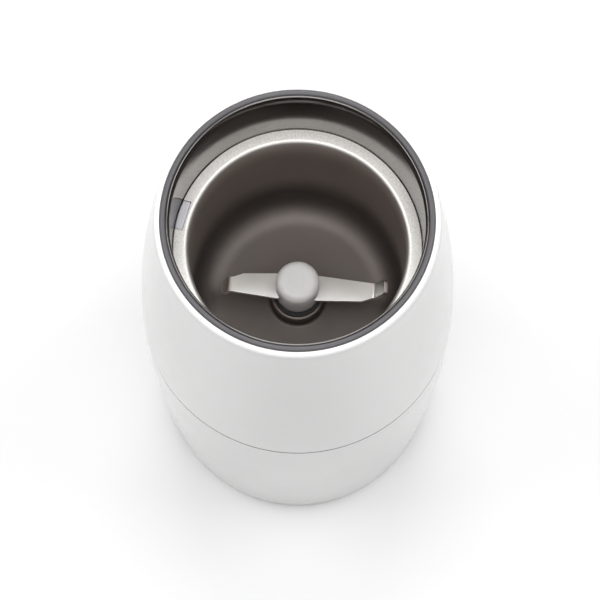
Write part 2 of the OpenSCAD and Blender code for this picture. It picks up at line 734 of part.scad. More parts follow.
module switch_bracket() color(dark_grey) at_lock() {
  arm_in_y = clip_r + 0.7;
  arm_out_y = arm_in_y + bracket_plate_t;
  arm_x = rod_x - 1.6;
  arm_x0 = 1.6;
  flange_x = bracket_screw_x - head_r;
  seat_z = spring_seat_z - bracket_plate_t;
  out_x = back_x + bracket_plate_t;
  difference() {
    union() {
      // seat of the spring, arms up to the deck, and the flange under the deck
      translate([arm_x - arm_x0, -arm_out_y, seat_z])
        cube([out_x - arm_x + arm_x0, 2 * arm_out_y, bracket_plate_t]);
      for (y = [-arm_out_y, arm_in_y]) translate([arm_x, y, seat_z])
        cube([out_x - arm_x, bracket_plate_t, deck_under_z - seat_z]);
      translate([flange_x, -bracket_screw_y[1] - head_r, deck_under_z - bracket_plate_t])
        cube([out_x - flange_x, 2 * (bracket_screw_y[1] + head_r), bracket_plate_t]);
      // plate that carries the switch
      translate([back_x, switch_y, switch_top_z - switch_h])
        cube([bracket_plate_t, switch_l, spring_seat_z - switch_top_z + switch_h]);
    }
    translate([rod_x, 0, seat_z - 1]) cylinder(r = pin_r + running, h = bracket_plate_t + 2);
    translate([rod_x, 0, deck_under_z - bracket_plate_t - 1])
      cylinder(r = clip_r + 0.4, h = bracket_plate_t + 2);
    for (y = bracket_screw_y) translate([bracket_screw_x, y, deck_under_z - bracket_plate_t - 1])
      cylinder(r = boss_hole_r + play, h = bracket_plate_t + 2);
    for (y = switch_hole_y) translate([back_x - 1, y, switch_hole_z]) rotate([0, 90, 0])
      cylinder(r = 1 + screw_play, h = bracket_plate_t + 2);
  }
}

module microswitch_body() color([0.12, 0.12, 0.13]) at_lock() difference() {
  union() {
    translate([switch_x, switch_y, switch_top_z - switch_h]) cube([switch_t, switch_l, switch_h]);
    // ears of the lever's pivot
    for (x = [switch_x, switch_x + switch_t - 1.2]) translate([x, pivot_y - 1.4, switch_top_z - eps])
      cube([1.2, 2.8, 2.2]);
  }
  for (y = switch_hole_y) translate([switch_x - 1, y, switch_hole_z]) rotate([0, 90, 0])
    cylinder(r = 1 + screw_play, h = switch_t + 2);
  translate([switch_x - 1, pivot_y, pivot_z]) rotate([0, 90, 0])
    cylinder(r = 0.5 + running, h = switch_t + 2);
  // well of the button
  translate([rod_x - (button_w + play) / 2, pivot_y - button_arm - (button_w + play) / 2,
             switch_top_z - 3])
    cube([button_w + play, button_w + play, 4]);
}

module switch_button() color([0.75, 0.15, 0.12]) at_lock()
  translate([rod_x - button_w / 2, pivot_y - button_arm - button_w / 2, switch_top_z - 1.6])
    cube([button_w, button_w, button_top_z - switch_top_z + 1.6]);

module switch_lever() color(steel) at_lock() translate([0, pivot_y, pivot_z]) {
  lever_w = 3.4;
  lever_over = 3;
  lever_l = lever_arm / cos(lever_rest) + lever_over;
  rotate([-lever_rest, 0, 0])
    translate([rod_x - lever_w / 2, -lever_l, -lever_t / 2]) cube([lever_w, lever_l, lever_t]);
  translate([switch_x + 0.2, 0, 0]) rotate([0, 90, 0]) cylinder(r = 0.5, h = switch_t - 0.4);
}

module switch_terminals() color([0.8, 0.6, 0.3]) at_lock() {
  blade_w = 4.8;
  blade_l = 6.5;
  for (y = [switch_y + 2, switch_y + switch_l / 2, switch_y + switch_l - 3])
    translate([rod_x - blade_w / 2, y, switch_top_z - switch_h - blade_l]) difference() {
      cube([blade_w, 0.8, blade_l]);
      translate([blade_w / 2, -1, 2]) rotate([-90, 0, 0]) cylinder(r = 0.8, h = 3);
    }
}

module switch_screws() color(steel) at_lock() for (y = switch_hole_y)
  translate([switch_x, y, switch_hole_z]) rotate([0, 90, 0]) screw_up(1, switch_t + 3, 1.9, 1.2);

module bracket_screws() color(steel) at_lock() for (y = bracket_screw_y)
  translate([bracket_screw_x, y, deck_under_z - bracket_plate_t]) screw_up(screw_r, 3.6, 2.4, 1.4);

// ---------------------------------------------------------------- blade

// Outline of one arm, seen from above, from the shaft to its bend at r
module arm_2d(r) {
  polygon([
    [0, blade_root_w / 2], [hub_r, blade_root_w / 2], [r, blade_tip_w - blade_root_w * 0.26],
    [r, -blade_root_w * 0.26], [r - 4, -blade_root_w / 2 + 0.6], [hub_r, -blade_root_w / 2],
    [0, -blade_root_w / 2]
  ]);
}

// Arm with a tip of length l, turned up by angle
module blade_arm(r, l, angle) {
  tip_y = -blade_root_w * 0.26;
  linear_extrude(blade_t) arm_2d(r);
  translate([r, 0, blade_t / 2]) rotate([0, -angle, 0]) translate([0, 0, -blade_t / 2])
    linear_extrude(blade_t) polygon([
      [0, tip_y], [0, tip_y + blade_tip_w], [l - 1, tip_y + blade_tip_w],
      [l, tip_y + blade_tip_w - 1], [l, tip_y]
    ]);
  translate([r, tip_y + blade_tip_w, blade_t / 2]) rotate([90, 0, 0])
    cylinder(d = blade_t, h = blade_tip_w, $fn = 24);
}

module blade() color(steel) rotate([0, 0, blade_az]) translate([0, 0, blade_z]) difference() {
  union() {
    blade_arm(blade_up_r, tip_up_l, tip_up_angle);
    rotate([0, 0, 180]) blade_arm(blade_down_r, tip_down_l, -tip_down_angle);
  }
  translate([0, 0, -1]) cylinder(r = shaft_r + screw_play, h = blade_t + 2);
}

module blade_hub() color(white) rotate([0, 0, blade_az]) difference() {
  rotate_extrude() {
    translate([0, hub_z]) square([hub_r, hub_h - hub_round]);
    translate([0, hub_top_z - hub_round - eps]) square([hub_r - hub_round, hub_round + eps]);
    translate([hub_r - hub_round, hub_top_z - hub_round]) circle(r = hub_round);
  }
  // slot that the blade is moulded in, the shaft's hole and the threaded insert's seat
  translate([-hub_r - 1, -blade_root_w / 2 - 0.02, blade_z - 0.02])
    cube([2 * hub_r + 2, blade_root_w + 0.04, blade_t + 0.04]);
  translate([0, 0, hub_z - 1]) cylinder(r = shaft_r + screw_play, h = shaft_top_z - hub_z + 1.1);
  translate([0, 0, hub_z - 1]) cylinder(r = shaft_r + 1.6, h = blade_z - hub_z + 0.6);
}

module hub_insert() color([0.85, 0.68, 0.35]) translate([0, 0, hub_z + 0.6])
  tube(shaft_r + 1.6 - 0.02, shaft_r + 0.02, blade_z - hub_z - 1.1);

module shaft_seal() color(dark_grey) {
  seal_r = 6;
  seal_z = floor_z + 1;
  seal_top_z = hub_z - 0.4;
  difference() {
    union() {
      translate([0, 0, seal_z]) cylinder(r = seal_r, h = floor_z + boss_h - seal_z);
      translate([0, 0, floor_z + boss_h])
        cylinder(r1 = seal_r + 1.2, r2 = seal_r - 1.6, h = seal_top_z - floor_z - boss_h);
    }
    translate([0, 0, seal_z - 1]) cylinder(r = shaft_r + running, h = seal_top_z - seal_z + 2);
  }
}

// ---------------------------------------------------------------- motor

module drive_shaft() color(steel) {
  translate([0, 0, shaft_z + 0.5]) cylinder(r = shaft_r, h = shaft_top_z - shaft_z - 1);
  translate([0, 0, shaft_z]) cylinder(r1 = shaft_r - 0.5, r2 = shaft_r, h = 0.5);
  translate([0, 0, shaft_top_z - 0.5]) cylinder(r1 = shaft_r, r2 = shaft_r - 0.5, h = 0.5);
}

module upper_bush() color([0.72, 0.5, 0.3]) translate([0, 0, upper_bush_z])
  tube(bush_r, shaft_r + running, bush_l);

module lower_bush() color([0.72, 0.5, 0.3]) translate([0, 0, lower_bush_z])
  tube(bush_r, shaft_r + running, bush_l);

// Windows between the spokes of a bracket plate
module plate_windows(z, centre_r) {
  window_w = 12;
  window_edge = 7;
  for (a = [0, 180]) rotate([0, 0, a + 45]) translate([0, 0, z - 1]) intersection() {
    tube(bracket_r - window_edge, centre_r, bracket_t + 2);
    translate([0, -window_w / 2, 0]) cube([bracket_r, window_w, bracket_t + 2]);
  }
}

module upper_bracket() color(mid_grey) difference() {
  union() {
    translate([0, 0, bracket_z]) cylinder(r = bracket_r, h = bracket_t);
    translate([0, 0, bracket_z - upper_cup_h]) cylinder(r = bush_r + cup_t, h = upper_cup_h + eps);
    for (a = [90, 270]) rotate([0, 0, a]) translate([0, 0, stack_z + stack_h])
      tube_leg(bracket_r, yoke_in_r + 0.4, bracket_z - stack_z - stack_h + eps, leg_w);
    at_polar(mount_az, mount_r, bracket_z) cylinder(r = 4, h = bracket_t);
  }
  translate([0, 0, bracket_z - upper_cup_h - 1]) cylinder(r = shaft_r + 1, h = bracket_t + upper_cup_h + 2);
  translate([0, 0, upper_bush_z]) cylinder(r = bush_r + running, h = bracket_t + upper_cup_h);
  plate_windows(bracket_z, bush_r + cup_t + 2);
  rotate([0, 0, 90]) plate_windows(bracket_z, bush_r + cup_t + 2);
  at_polar([90, 270], bolt_ring_r, bracket_z - 1) cylinder(r = bolt_r + screw_play, h = bracket_t + 2);
  at_polar(mount_az, mount_r, bracket_z - 1) cylinder(r = screw_r + play, h = bracket_t + 2);
}

module lower_bracket() color(mid_grey) difference() {
  union() {
    translate([0, 0, lower_plate_z]) cylinder(r = bracket_r, h = bracket_t);
    translate([0, 0, lower_plate_z - lower_cup_h]) cylinder(r = bush_r + cup_t, h = lower_cup_h + eps);
    for (a = [90, 270]) rotate([0, 0, a]) translate([0, 0, lower_plate_z])
      tube_leg(bracket_r, yoke_in_r + 0.4, stack_z - lower_plate_z, leg_w);
  }
  translate([0, 0, lower_plate_z - lower_cup_h - 1])
    cylinder(r = shaft_r + 1, h = bracket_t + lower_cup_h + 2);
  translate([0, 0, lower_bush_z]) cylinder(r = bush_r + running, h = bracket_t + lower_cup_h);
  for (a = [0, 90]) rotate([0, 0, a]) plate_windows(lower_plate_z, bush_r + cup_t + 2);
  at_polar([90, 270], bolt_ring_r, lower_plate_z - 1) cylinder(r = bolt_r + screw_play, h = bracket_t + 2);
}

// Outline of the stator's sheets: a yoke ring, two pole necks and two curved pole shoes
module stator_2d() {
  flat_y = stator_r - 0.6;
  key_r = 1;
  difference() {
    union() {
      difference() {
        circle(r = stator_r);
        circle(r = yoke_in_r);
      }
      difference() {
        square([2 * yoke_in_r + yoke_t, neck_w], center = true);
        circle(r = bore_r);
      }
      difference() {
        circle(r = bore_r + shoe_t);
        circle(r = bore_r);
        square([bore_r * 1.1, 4 * bore_r], center = true);
      }
    }
    // flats at the front and the back, and grooves that key the stack
    for (s = [-1, 1]) translate([0, s * (flat_y + 5)]) square([2 * stator_r, 10], center = true);
    for (a = [45:90:315]) rotate(a) translate([stator_r, 0]) circle(r = key_r);
  }
}

module stator_core() color([0.45, 0.45, 0.47]) translate([0, 0, stack_z])
  linear_extrude(stack_h) stator_2d();

// Rectangle with round corners, centred
module rounded_rect_2d(l, w, r) {
  square([l, w - 2 * r], center = true);
  square([l - 2 * r, w], center = true);
  for (x = [-1, 1]) for (y = [-1, 1]) translate([x * (l / 2 - r), y * (w / 2 - r)]) circle(r = r);
}

// Racetrack winding round the neck of the pole on the +X side
module pole_coil() {
  coil_in_w = neck_w + 1;
  coil_t = 3.6;
  yoke_clear = 0.84;
  coil_out_w = 2 * sqrt(pow(yoke_in_r, 2) - pow(bore_r + 1 + coil_t + yoke_clear, 2));
  translate([bore_r + 1, 0, stack_z + stack_h / 2]) rotate([0, 90, 0]) linear_extrude(coil_t)
    difference() {
      rounded_rect_2d(stack_h + 2 * overhang, coil_out_w, overhang);
      square([stack_h + 1, coil_in_w], center = true);
    }
}

module field_coils() color([0.72, 0.38, 0.2]) for (a = [0, 180]) rotate([0, 0, a]) pole_coil();

module armature_core() color([0.5, 0.5, 0.52]) translate([0, 0, stack_z]) difference() {
  cylinder(r = armature_r, h = stack_h);
  translate([0, 0, -1]) cylinder(r = shaft_r + 0.02, h = stack_h + 2);
  for (i = [0:slot_count - 1]) rotate([0, 0, 360 * i / slot_count]) {
    translate([armature_r - 4, 0, -1]) cylinder(r = 1.9, h = stack_h + 2);
    translate([armature_r - 4, -0.6, -1]) cube([5, 1.2, stack_h + 2]);
  }
}

module armature_windings() color([0.75, 0.42, 0.22]) {
  wire_fill = 1.75;
  end_h = 4.6;
  // copper in the slots, and the overhangs above and below that join it
  for (i = [0:slot_count - 1]) rotate([0, 0, 360 * i / slot_count])
    translate([armature_r - 4, 0, stack_z - eps]) cylinder(r = wire_fill, h = stack_h + 2 * eps);
  for (s = [0, 1]) translate([0, 0, stack_z + s * stack_h]) mirror([0, 0, 1 - s]) difference() {
    rotate_extrude() {
      translate([shaft_r + 1.6, 0]) square([armature_r - shaft_r - 3.6, end_h]);
      translate([armature_r - 2.4, 0]) square([1.2, end_h - 1.2]);
      translate([armature_r - 2.4, end_h - 1.2]) circle(r = 1.2);
    }
    for (i = [0:slot_count - 1]) rotate([0, 0, 360 * (i + 0.5) / slot_count])
      translate([armature_r - 4, -0.4, end_h - 0.8]) cube([5, 0.8, 2]);
  }
}

module commutator() color([0.8, 0.5, 0.3]) translate([0, 0, commutator_z]) difference() {
  union() {
    cylinder(r = commutator_r, h = commutator_l);
    translate([0, 0, commutator_l - eps]) cylinder(r = commutator_r + 1.2, h = riser_t + eps);
  }
  translate([0, 0, -1]) cylinder(r = shaft_r + 0.02, h = commutator_l + 4);
  for (i = [0:bar_count - 1]) rotate([0, 0, 360 * (i + 0.5) / bar_count])
    translate([commutator_r - 0.7, -0.2, -1]) cube([3, 0.4, commutator_l + 4]);
}

module cooling_fan() color([0.15, 0.15, 0.16]) translate([0, 0, fan_z]) difference() {
  union() {
    cylinder(r = shaft_r + 3, h = fan_h);
    cylinder(r = fan_r, h = 1.2);
    for (i = [0:fan_blades - 1]) rotate([0, 0, 360 * i / fan_blades])
      translate([shaft_r + 2.4, 0, 0]) rotate([0, 0, 20])
        cube([fan_r - shaft_r - 4, 1.1, fan_h - 0.6]);
  }
  translate([0, 0, -1]) cylinder(r = shaft_r + 0.02, h = fan_h + 2);
}

module brush_holders() color([0.35, 0.22, 0.14]) for (a = [0, 180]) rotate([0, 0, a]) {
  outer_w = brush_w + 2 * holder_t;
  top_z = brush_z + brush_h / 2 + holder_t;
  plate_top_z = lower_plate_z + bracket_t;
  difference() {
    translate([holder_in_r, -outer_w / 2, plate_top_z])
      cube([holder_out_r - holder_in_r, outer_w, top_z - plate_top_z]);
    translate([holder_in_r - 1, -brush_w / 2 - 0.05, brush_z - brush_h / 2 - 0.05])
      cube([holder_out_r, brush_w + 0.1, brush_h + 0.1]);
    translate([holder_in_r + 4, -outer_w, plate_top_z - 1]) cube([8, 2 * outer_w, 3]);
  }
}

module carbon_brushes() color([0.18, 0.18, 0.19]) for (a = [0, 180]) rotate([0, 0, a])
  translate([0, 0, brush_z]) difference() {
    translate([commutator_r - 2, -brush_w / 2, -brush_h / 2]) cube([brush_l + 2, brush_w, brush_h]);
    translate([0, 0, -brush_h]) cylinder(r = commutator_r + brush_rub, h = 2 * brush_h);
  }

module brush_springs() color(steel) for (a = [0, 180]) rotate([0, 0, a])
  translate([commutator_r + brush_l + play / 2, 0, brush_z]) rotate([0, 90, 0])
    coil_spring(2.1, holder_out_r - cap_t - commutator_r - brush_l - play, 6, 0.45);

module brush_caps() color([0.8, 0.6, 0.3]) for (a = [0, 180]) rotate([0, 0, a])
  translate([holder_out_r - cap_t, 0, brush_z]) {
    translate([0, -brush_w / 2, -brush_h / 2]) cube([cap_t, brush_w, brush_h]);
    translate([cap_t - eps, -0.4, -2.4]) cube([1.6, 0.8, 4.8]);
  }

module motor_screws() color(steel) at_polar([90, 270], bolt_ring_r, lower_plate_z)
  screw_up(bolt_r, bracket_z + bracket_t - lower_plate_z + 2.4, 2.8, 2.2);

module motor_nuts() color(steel) at_polar([90, 270], bolt_ring_r, bracket_z + bracket_t)
  difference() {
    cylinder(r = 3.1, h = 2, $fn = 6);
    translate([0, 0, -1]) cylinder(r = bolt_r + screw_play, h = 4);
  }

module rubber_mounts() color(dark_grey) at_polar(mount_az, mount_r, bracket_z + bracket_t)
  tube(3.9, screw_r + play, mount_h);

module mount_screws() color(steel) at_polar(mount_az, mount_r, bracket_z)
  screw_up(screw_r, bracket_t + mount_h + deck_t + 2, head_r, head_h);

module cradle_screws() color(steel) at_polar(cradle_az, boss_ring_r, deck_under_z)
  screw_up(screw_r, deck_t + 7, head_r, head_h);

module housing_screws() color(steel)
  at_polar(shell_az, boss_ring_r, seam_z - seam_gap / 2 - shell_post_h)
    screw_up(screw_r, shell_post_h + 8, head_r, head_h);

module cover_screws() color(steel) at_polar(cover_az, cover_ring_r, bottom_z + cover_head_h)
  screw_up(screw_r, 8, head_r, cover_head_h);

// ---------------------------------------------------------------- output

upper_housing();
lower_housing();
bottom_cover();
rubber_feet();
rim_ring();
steel_collar();
grinding_bowl();
bowl_cradle();
plunger_guide();
interlock_plunger();
plunger_clip();
plunger_spring();
switch_bracket();
microswitch_body();
switch_button();
switch_lever();
switch_terminals();
switch_screws();
bracket_screws();
blade();
blade_hub();
hub_insert();
shaft_seal();
drive_shaft();
upper_bush();
lower_bush();
upper_bracket();
lower_bracket();
stator_core();
field_coils();
armature_core();
armature_windings();
commutator();
cooling_fan();
brush_holders();
carbon_brushes();
brush_springs();
brush_caps();
motor_screws();
motor_nuts();
rubber_mounts();
mount_screws();
cradle_screws();
housing_screws();
cover_screws();
cord_gland();
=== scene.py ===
"""Electric spice grinder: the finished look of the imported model.

Each piece has its own operator. They are listed in the 3D view's sidebar, under Grinder.
"""
from math import asin, cos, pi, radians, sin, sqrt, tan, tau

import bmesh
import bpy
from mathutils import Matrix, Vector


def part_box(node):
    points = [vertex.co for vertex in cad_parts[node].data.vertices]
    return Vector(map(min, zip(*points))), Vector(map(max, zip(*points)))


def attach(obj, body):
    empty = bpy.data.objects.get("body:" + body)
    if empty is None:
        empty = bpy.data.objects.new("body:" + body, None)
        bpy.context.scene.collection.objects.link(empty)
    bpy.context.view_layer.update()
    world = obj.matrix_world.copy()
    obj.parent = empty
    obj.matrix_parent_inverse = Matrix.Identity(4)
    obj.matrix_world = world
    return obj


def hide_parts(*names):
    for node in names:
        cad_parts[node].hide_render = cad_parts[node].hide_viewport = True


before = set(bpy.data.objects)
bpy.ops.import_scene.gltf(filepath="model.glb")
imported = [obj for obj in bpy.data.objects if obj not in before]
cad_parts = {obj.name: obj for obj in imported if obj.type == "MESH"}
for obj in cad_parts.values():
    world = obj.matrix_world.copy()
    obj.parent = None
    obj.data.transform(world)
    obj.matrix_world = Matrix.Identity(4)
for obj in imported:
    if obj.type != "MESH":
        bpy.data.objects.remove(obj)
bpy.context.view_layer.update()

bl_info = {
    "name": "Spice grinder",
    "version": (1, 0, 0),
    "blender": (4, 5, 0),
    "location": "3D View > Sidebar > Grinder",
    "description": "Builds the visible pieces of a barrel-shaped electric spice grinder",
    "category": "Object",
}

MM = 0.001
# Steps round the turned pieces and the cutters
LARGE_STEPS = 240
COVER_STEPS = 160
HUB_STEPS = 128
SEAL_STEPS = 96
SMALL_STEPS = 64
FOOT_STEPS = 48
POST_STEPS = 32
HOLE_STEPS = 24
# Roundings above this size get more steps
LARGE_ROUND = 3 * MM
# Edges that turn by more than these are drawn sharp, or rounded on a moulded piece
SHARP_ANGLE = radians(32)
ROUNDED_ANGLE = radians(30)
# Radii of the holes that a screw cuts its thread in, and that a screw passes through
PILOT_R = 1.46 * MM
CLEAR_R = 1.66 * MM
# Reach of a web from a screw post to the wall
POST_WEB = 4.4 * MM
# Gap between the push pad and the collar, and thickness of the gland's flange
PAD_GAP = 0.1 * MM
FLANGE_T = 1.8 * MM
# Scales of brushed streaks, along the brushing and across it
BRUSH_ALONG = 1.6
BRUSH_ACROSS = 9000
# Colour sockets of a Mix node
MIX_A, MIX_B, MIX_RESULT = 6, 7, 2
WHITE = (1, 1, 1, 1)
LAMP_AIM = Vector((0, 0, 0.1))


def low(node):
    """Lowest corner of a CAD node."""
    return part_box(node)[0]


def high(node):
    """Highest corner of a CAD node."""
    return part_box(node)[1]


# Heights that the frame gives
BASE_Z = low("lower_housing").z
SEAM_Z = low("upper_housing").z
RIM_Z = high("upper_housing").z
RING_Z = low("rim_ring").z
RING_TOP_Z = high("rim_ring").z
COLLAR_TOP_Z = high("steel_collar").z
LEDGE_Z = high("grinding_bowl").z
FLOOR_UNDER_Z = low("grinding_bowl").z
INLET_Z = (low("cord_gland").z + high("cord_gland").z) / 2
HUB_Z = low("blade_hub").z
HUB_TOP_Z = high("blade_hub").z
BLADE_Z = HUB_TOP_Z - 7.6 * MM
# Directions of the feet and of the cover's screws
FOOT_TURNS = [radians(a) for a in (45, 135, 225, 315)]
SCREW_TURNS = [radians(a) for a in (0, 180, 270)]


# --- settings

def number(name, description, default, **options):
    """A number that a user can change."""
    return bpy.props.FloatProperty(name=name, description=description, default=default, **options)


def length(name, description, default):
    """A size in metres that a user can change."""
    return number(name, description, default, min=0.0, precision=5, unit="LENGTH")


def turn(name, description, degrees):
    """An angle that a user can change."""
    return number(name, description, radians(degrees), subtype="ANGLE")


def colour(name, description, default):
    """A linear colour that a user can change."""
    return bpy.props.FloatVectorProperty(
        name=name, description=description, default=default, size=3, subtype="COLOR",
        min=0.0, max=1.0,
    )


class GRINDER_PG_shells(bpy.types.PropertyGroup):
    body_r: length("Body radius", "Radius at the seam", high("lower_housing").x)
    rim_r: length("Rim radius", "Outer radius of the white rim", 0.03965)
    base_r: length("Base radius", "Radius of the bottom edge", 0.0413)
    wall: length("Wall", "Wall of the two shells", 0.0024)
    land: length("Rim land", "Height of the land under the rim", 0.0014)
    rim_round: length("Rim rounding", "Rounding of the rim's outer edge", 0.0012)
    ring_edge_round: length("Ring edge rounding", "Rounding of the rim's inner edge", 0.0002)
    base_round: length("Base rounding", "Rounding of the bottom edge", 0.0022)
    seam_gap: length("Seam gap", "Gap between the two shells", 0.0003)
    seam_round: length("Seam rounding", "Rounding of the edges at the seam", 0.0004)
    tongue: length("Tongue height", "Height of the tongue above the seam", 0.0026)
    tongue_t: length("Tongue wall", "Wall of the tongue", 0.0012)
    post_r: length("Post radius", "Radius of the screw posts", 0.0036)
    post_ring_r: length("Post distance", "From the axis to a screw post", 0.0404)


class GRINDER_PG_bowl(bpy.types.PropertyGroup):
    collar_r: length("Collar radius", "Inner radius of the lid collar", 0.0353)
    collar_t: length("Collar sheet", "Sheet thickness of the collar", 0.0006)
    flare: length("Collar flare", "Lean of the collar's top edge", 0.00042)
    flare_h: length("Flare height", "Height of the leaning part", 0.0026)
    groove_w: length("Groove width", "Width of the groove beside the collar", 0.0003)
    groove_d: length("Groove depth", "Depth of that groove", 0.0005)
    bowl_r: length("Bowl radius", "Inner radius of the grinding bowl", 0.0309)
    sheet: length("Bowl sheet", "Sheet thickness of the bowl", 0.0007)
    lip_round: length("Lip rounding", "Rounding of the bowl's lip", 0.0014)
    corner: length("Corner rounding", "Rounding between wall and floor", 0.009)
    boss_r: length("Boss radius", "Radius of the boss in the floor", 0.008)
    boss_h: length("Boss height", "Height of the boss in the floor", 0.004)
    seal_hole_r: length("Seal hole", "Radius of the seal's hole", 0.00605)


class GRINDER_PG_interlock(bpy.types.PropertyGroup):
    azimuth: turn("Direction", "Direction of the interlock from +X", 164)
    pad_w: length("Pad width", "Width of the push pad", 0.0087)
    pad_d: length("Pad depth", "Radial depth of the push pad", 0.00245)
    pad_h: length("Pad height", "Height of the push pad", 0.004)
    edge_round: length("Edge rounding", "Rounding of the moulded edges", 0.00035)


class GRINDER_PG_blade(bpy.types.PropertyGroup):
    azimuth: turn("Direction", "Direction of the longer tip from +X", -3.7)
    thickness: length("Thickness", "Sheet thickness of the blade", 0.0012)
    root_w: length("Root width", "Width of an arm beside the hub", 0.0076)
    tip_w: length("Tip width", "Width of an arm at its bend", 0.0045)
    tip_offset: length("Tip offset", "From an arm's middle to its bend's near end", 0.00198)
    up_r: length("Raised tip's bend", "From the shaft to the raised tip's bend", 0.0231)
    up_l: length("Raised tip", "Length of the raised tip", 0.0062)
    up_angle: turn("Raised tip's angle", "How far the raised tip is bent up", 63)
    down_r: length("Lowered tip's bend", "From the shaft to the lowered tip's bend", 0.0201)
    down_l: length("Lowered tip", "Length of the lowered tip", 0.0044)
    down_angle: turn("Lowered tip's angle", "How far the lowered tip is bent down", 65)
    hub_r: length("Hub radius", "Radius of the plastic hub", 0.0064)
    hub_round: length("Hub rounding", "Rounding of the hub's top edge", 0.0022)


class GRINDER_PG_base(bpy.types.PropertyGroup):
    cover_t: length("Cover", "Thickness of the bottom cover", 0.0025)
    vent_l: length("Vent length", "Length of a vent slot", 0.013)
    vent_w: length("Vent width", "Width of a vent slot", 0.002)
    vent_r: length("Vent distance", "From the axis to a vent slot", 0.0165)
    vents: bpy.props.IntProperty(
        name="Vents", description="Number of vent slots in the cover", default=16, min=3
    )
    foot_r: length("Foot radius", "Radius of a rubber foot", 0.0055)
    foot_ring_r: length("Foot distance", "From the axis to a foot", 0.03)
    screw_ring_r: length("Screw distance", "From the axis to a cover screw", 0.0336)
    head_r: length("Screw head", "Radius of a cover screw's head", 0.0027)
    gland_bore_r: length("Gland bore", "Inner radius of the cord's gland", 0.0032)
    gland_t: length("Gland wall", "Wall of the cord's gland", 0.0016)
    gland_flange_r: length("Gland flange", "Outer radius of the gland's flange", 0.0066)


class GRINDER_PG_finish(bpy.types.PropertyGroup):
    shell: colour("Shell", "Glossy white of the two shells", (0.84, 0.84, 0.835))
    # The seam's dark grey is painted shade in the gap between the shells.
    seam: colour("Seam", "Dull grey inside the seam", (0.1, 0.1, 0.1))
    ring: colour("Ring", "Dark satin plastic of the rim ring", (0.092, 0.088, 0.094))
    collar: colour("Collar", "Satin steel of the collar", (0.2, 0.192, 0.185))
    ledge: colour("Ledge", "Blasted steel of the ledge and the lip", (0.87, 0.845, 0.812))
    # The bowl's tint is darker than the ledge's steel: painted shade of the deep bowl.
    bowl: colour("Bowl", "Dull steel inside the bowl", (0.42, 0.375, 0.35))
    blade: colour("Blade", "Satin steel of the blade", (0.7, 0.69, 0.665))
    hub: colour("Hub", "Pale plastic of the hub", (0.93, 0.915, 0.885))
    guide: colour("Guide", "Grey plastic of the guide", (0.2, 0.205, 0.215))
    pad: colour("Pad", "Grey plastic of the push pad", (0.72, 0.715, 0.755))
    cover: colour("Cover", "White satin plastic of the bottom cover", (0.72, 0.72, 0.71))
    rubber: colour("Rubber", "Dark rubber of the feet and the gland", (0.035, 0.035, 0.036))


class GRINDER_PG_stage(bpy.types.PropertyGroup):
    camera: bpy.props.FloatVectorProperty(
        name="Camera", description="Place of the camera", default=(0.0007, -0.2683, 0.9594),
        size=3, subtype="XYZ", unit="LENGTH",
    )
    tilt: turn("Camera tilt", "Angle between the view and straight down", 17.19)
    lens: number("Lens", "Focal length for a 36 mm sensor", 182.5, min=1.0)
    sky: number("Sky", "Strength of the even light", 0.52, min=0.0)
    side: number("Side lamps", "Power of a side lamp, in watts", 6.2, min=0.0)
    back: number("Back lamp", "Power of the lamp behind, in watts", 7.0, min=0.0)
    front: number("Front lamp", "Power of the lamp above the camera, in watts", 7.5, min=0.0)
    glow: number("Floor glow", "Light that the seen floor adds", 0.02, min=0.0)


SETTINGS = {
    "grinder_shells": GRINDER_PG_shells,
    "grinder_bowl": GRINDER_PG_bowl,
    "grinder_interlock": GRINDER_PG_interlock,
    "grinder_blade": GRINDER_PG_blade,
    "grinder_base": GRINDER_PG_base,
    "grinder_finish": GRINDER_PG_finish,
    "grinder_stage": GRINDER_PG_stage,
}


# --- modelling helpers

def about_z(angle):
    return Matrix.Rotation(angle, 4, "Z")


def shift(x, y, z):
    return Matrix.Translation((x, y, z))


def moved(bm, *matrices):
    """The bmesh after each of the matrices in turn."""
    for matrix in matrices:
        bmesh.ops.transform(bm, matrix=matrix, verts=bm.verts)
    return bm


def set_out(bm, radius, angle):
    """Moves a bmesh out along X and turns it round the Z axis."""
    return moved(bm, shift(radius, 0, 0), about_z(angle))


def at_lock(bm, interlock):
    """Turns a bmesh from the X axis to the interlock's direction."""
    return moved(bm, about_z(interlock.azimuth))


def at_inlet(bm):
    """Turns a bmesh from the Z axis to the cord's inlet, which faces the back."""
    return moved(bm, Matrix.Rotation(radians(-90), 4, "X"), shift(0, 0, INLET_Z))


def around(count, start):
    """Evenly spaced directions round the Z axis."""
    return [start + tau * i / count for i in range(count)]


def bevel(bm, geom, size, steps=3, affect="EDGES"):
    """Rounds the given edges or corners."""
    bmesh.ops.bevel(
        bm, geom=geom, offset=size, offset_type="OFFSET", segments=steps, profile=0.5,
        affect=affect, clamp_overlap=affect == "EDGES", material=-1,
    )
    return bm


def round_sharp(bm, size):
    """Rounds the edges where the surface turns."""
    bm.normal_update()
    edges = [
        edge for edge in bm.edges
        if len(edge.link_faces) == 2 and edge.calc_face_angle() > ROUNDED_ANGLE
    ]
    return bevel(bm, edges, size)


def lathe(corners, steps):
    """Turns an outline round the Z axis. A corner is (x, z) or (x, z, setback of its rounding)."""
    bm = bmesh.new()
    verts = [bm.verts.new((corner[0], 0, corner[1])) for corner in corners]
    for start, end in zip(verts, verts[1:] + verts[:1]):
        bm.edges.new((start, end))
    for vert, corner in zip(verts, corners):
        if len(corner) > 2:
            bevel(bm, [vert], corner[2], 12 if corner[2] > LARGE_ROUND else 6, "VERTICES")
    bmesh.ops.spin(
        bm, geom=bm.verts[:] + bm.edges[:], cent=(0, 0, 0), axis=(0, 0, 1), dvec=(0, 0, 0),
        angle=tau, steps=steps, use_merge=True, use_duplicate=False,
    )
    bmesh.ops.remove_doubles(bm, verts=bm.verts, dist=1e-7)
    bmesh.ops.recalc_face_normals(bm, faces=bm.faces)
    return bm


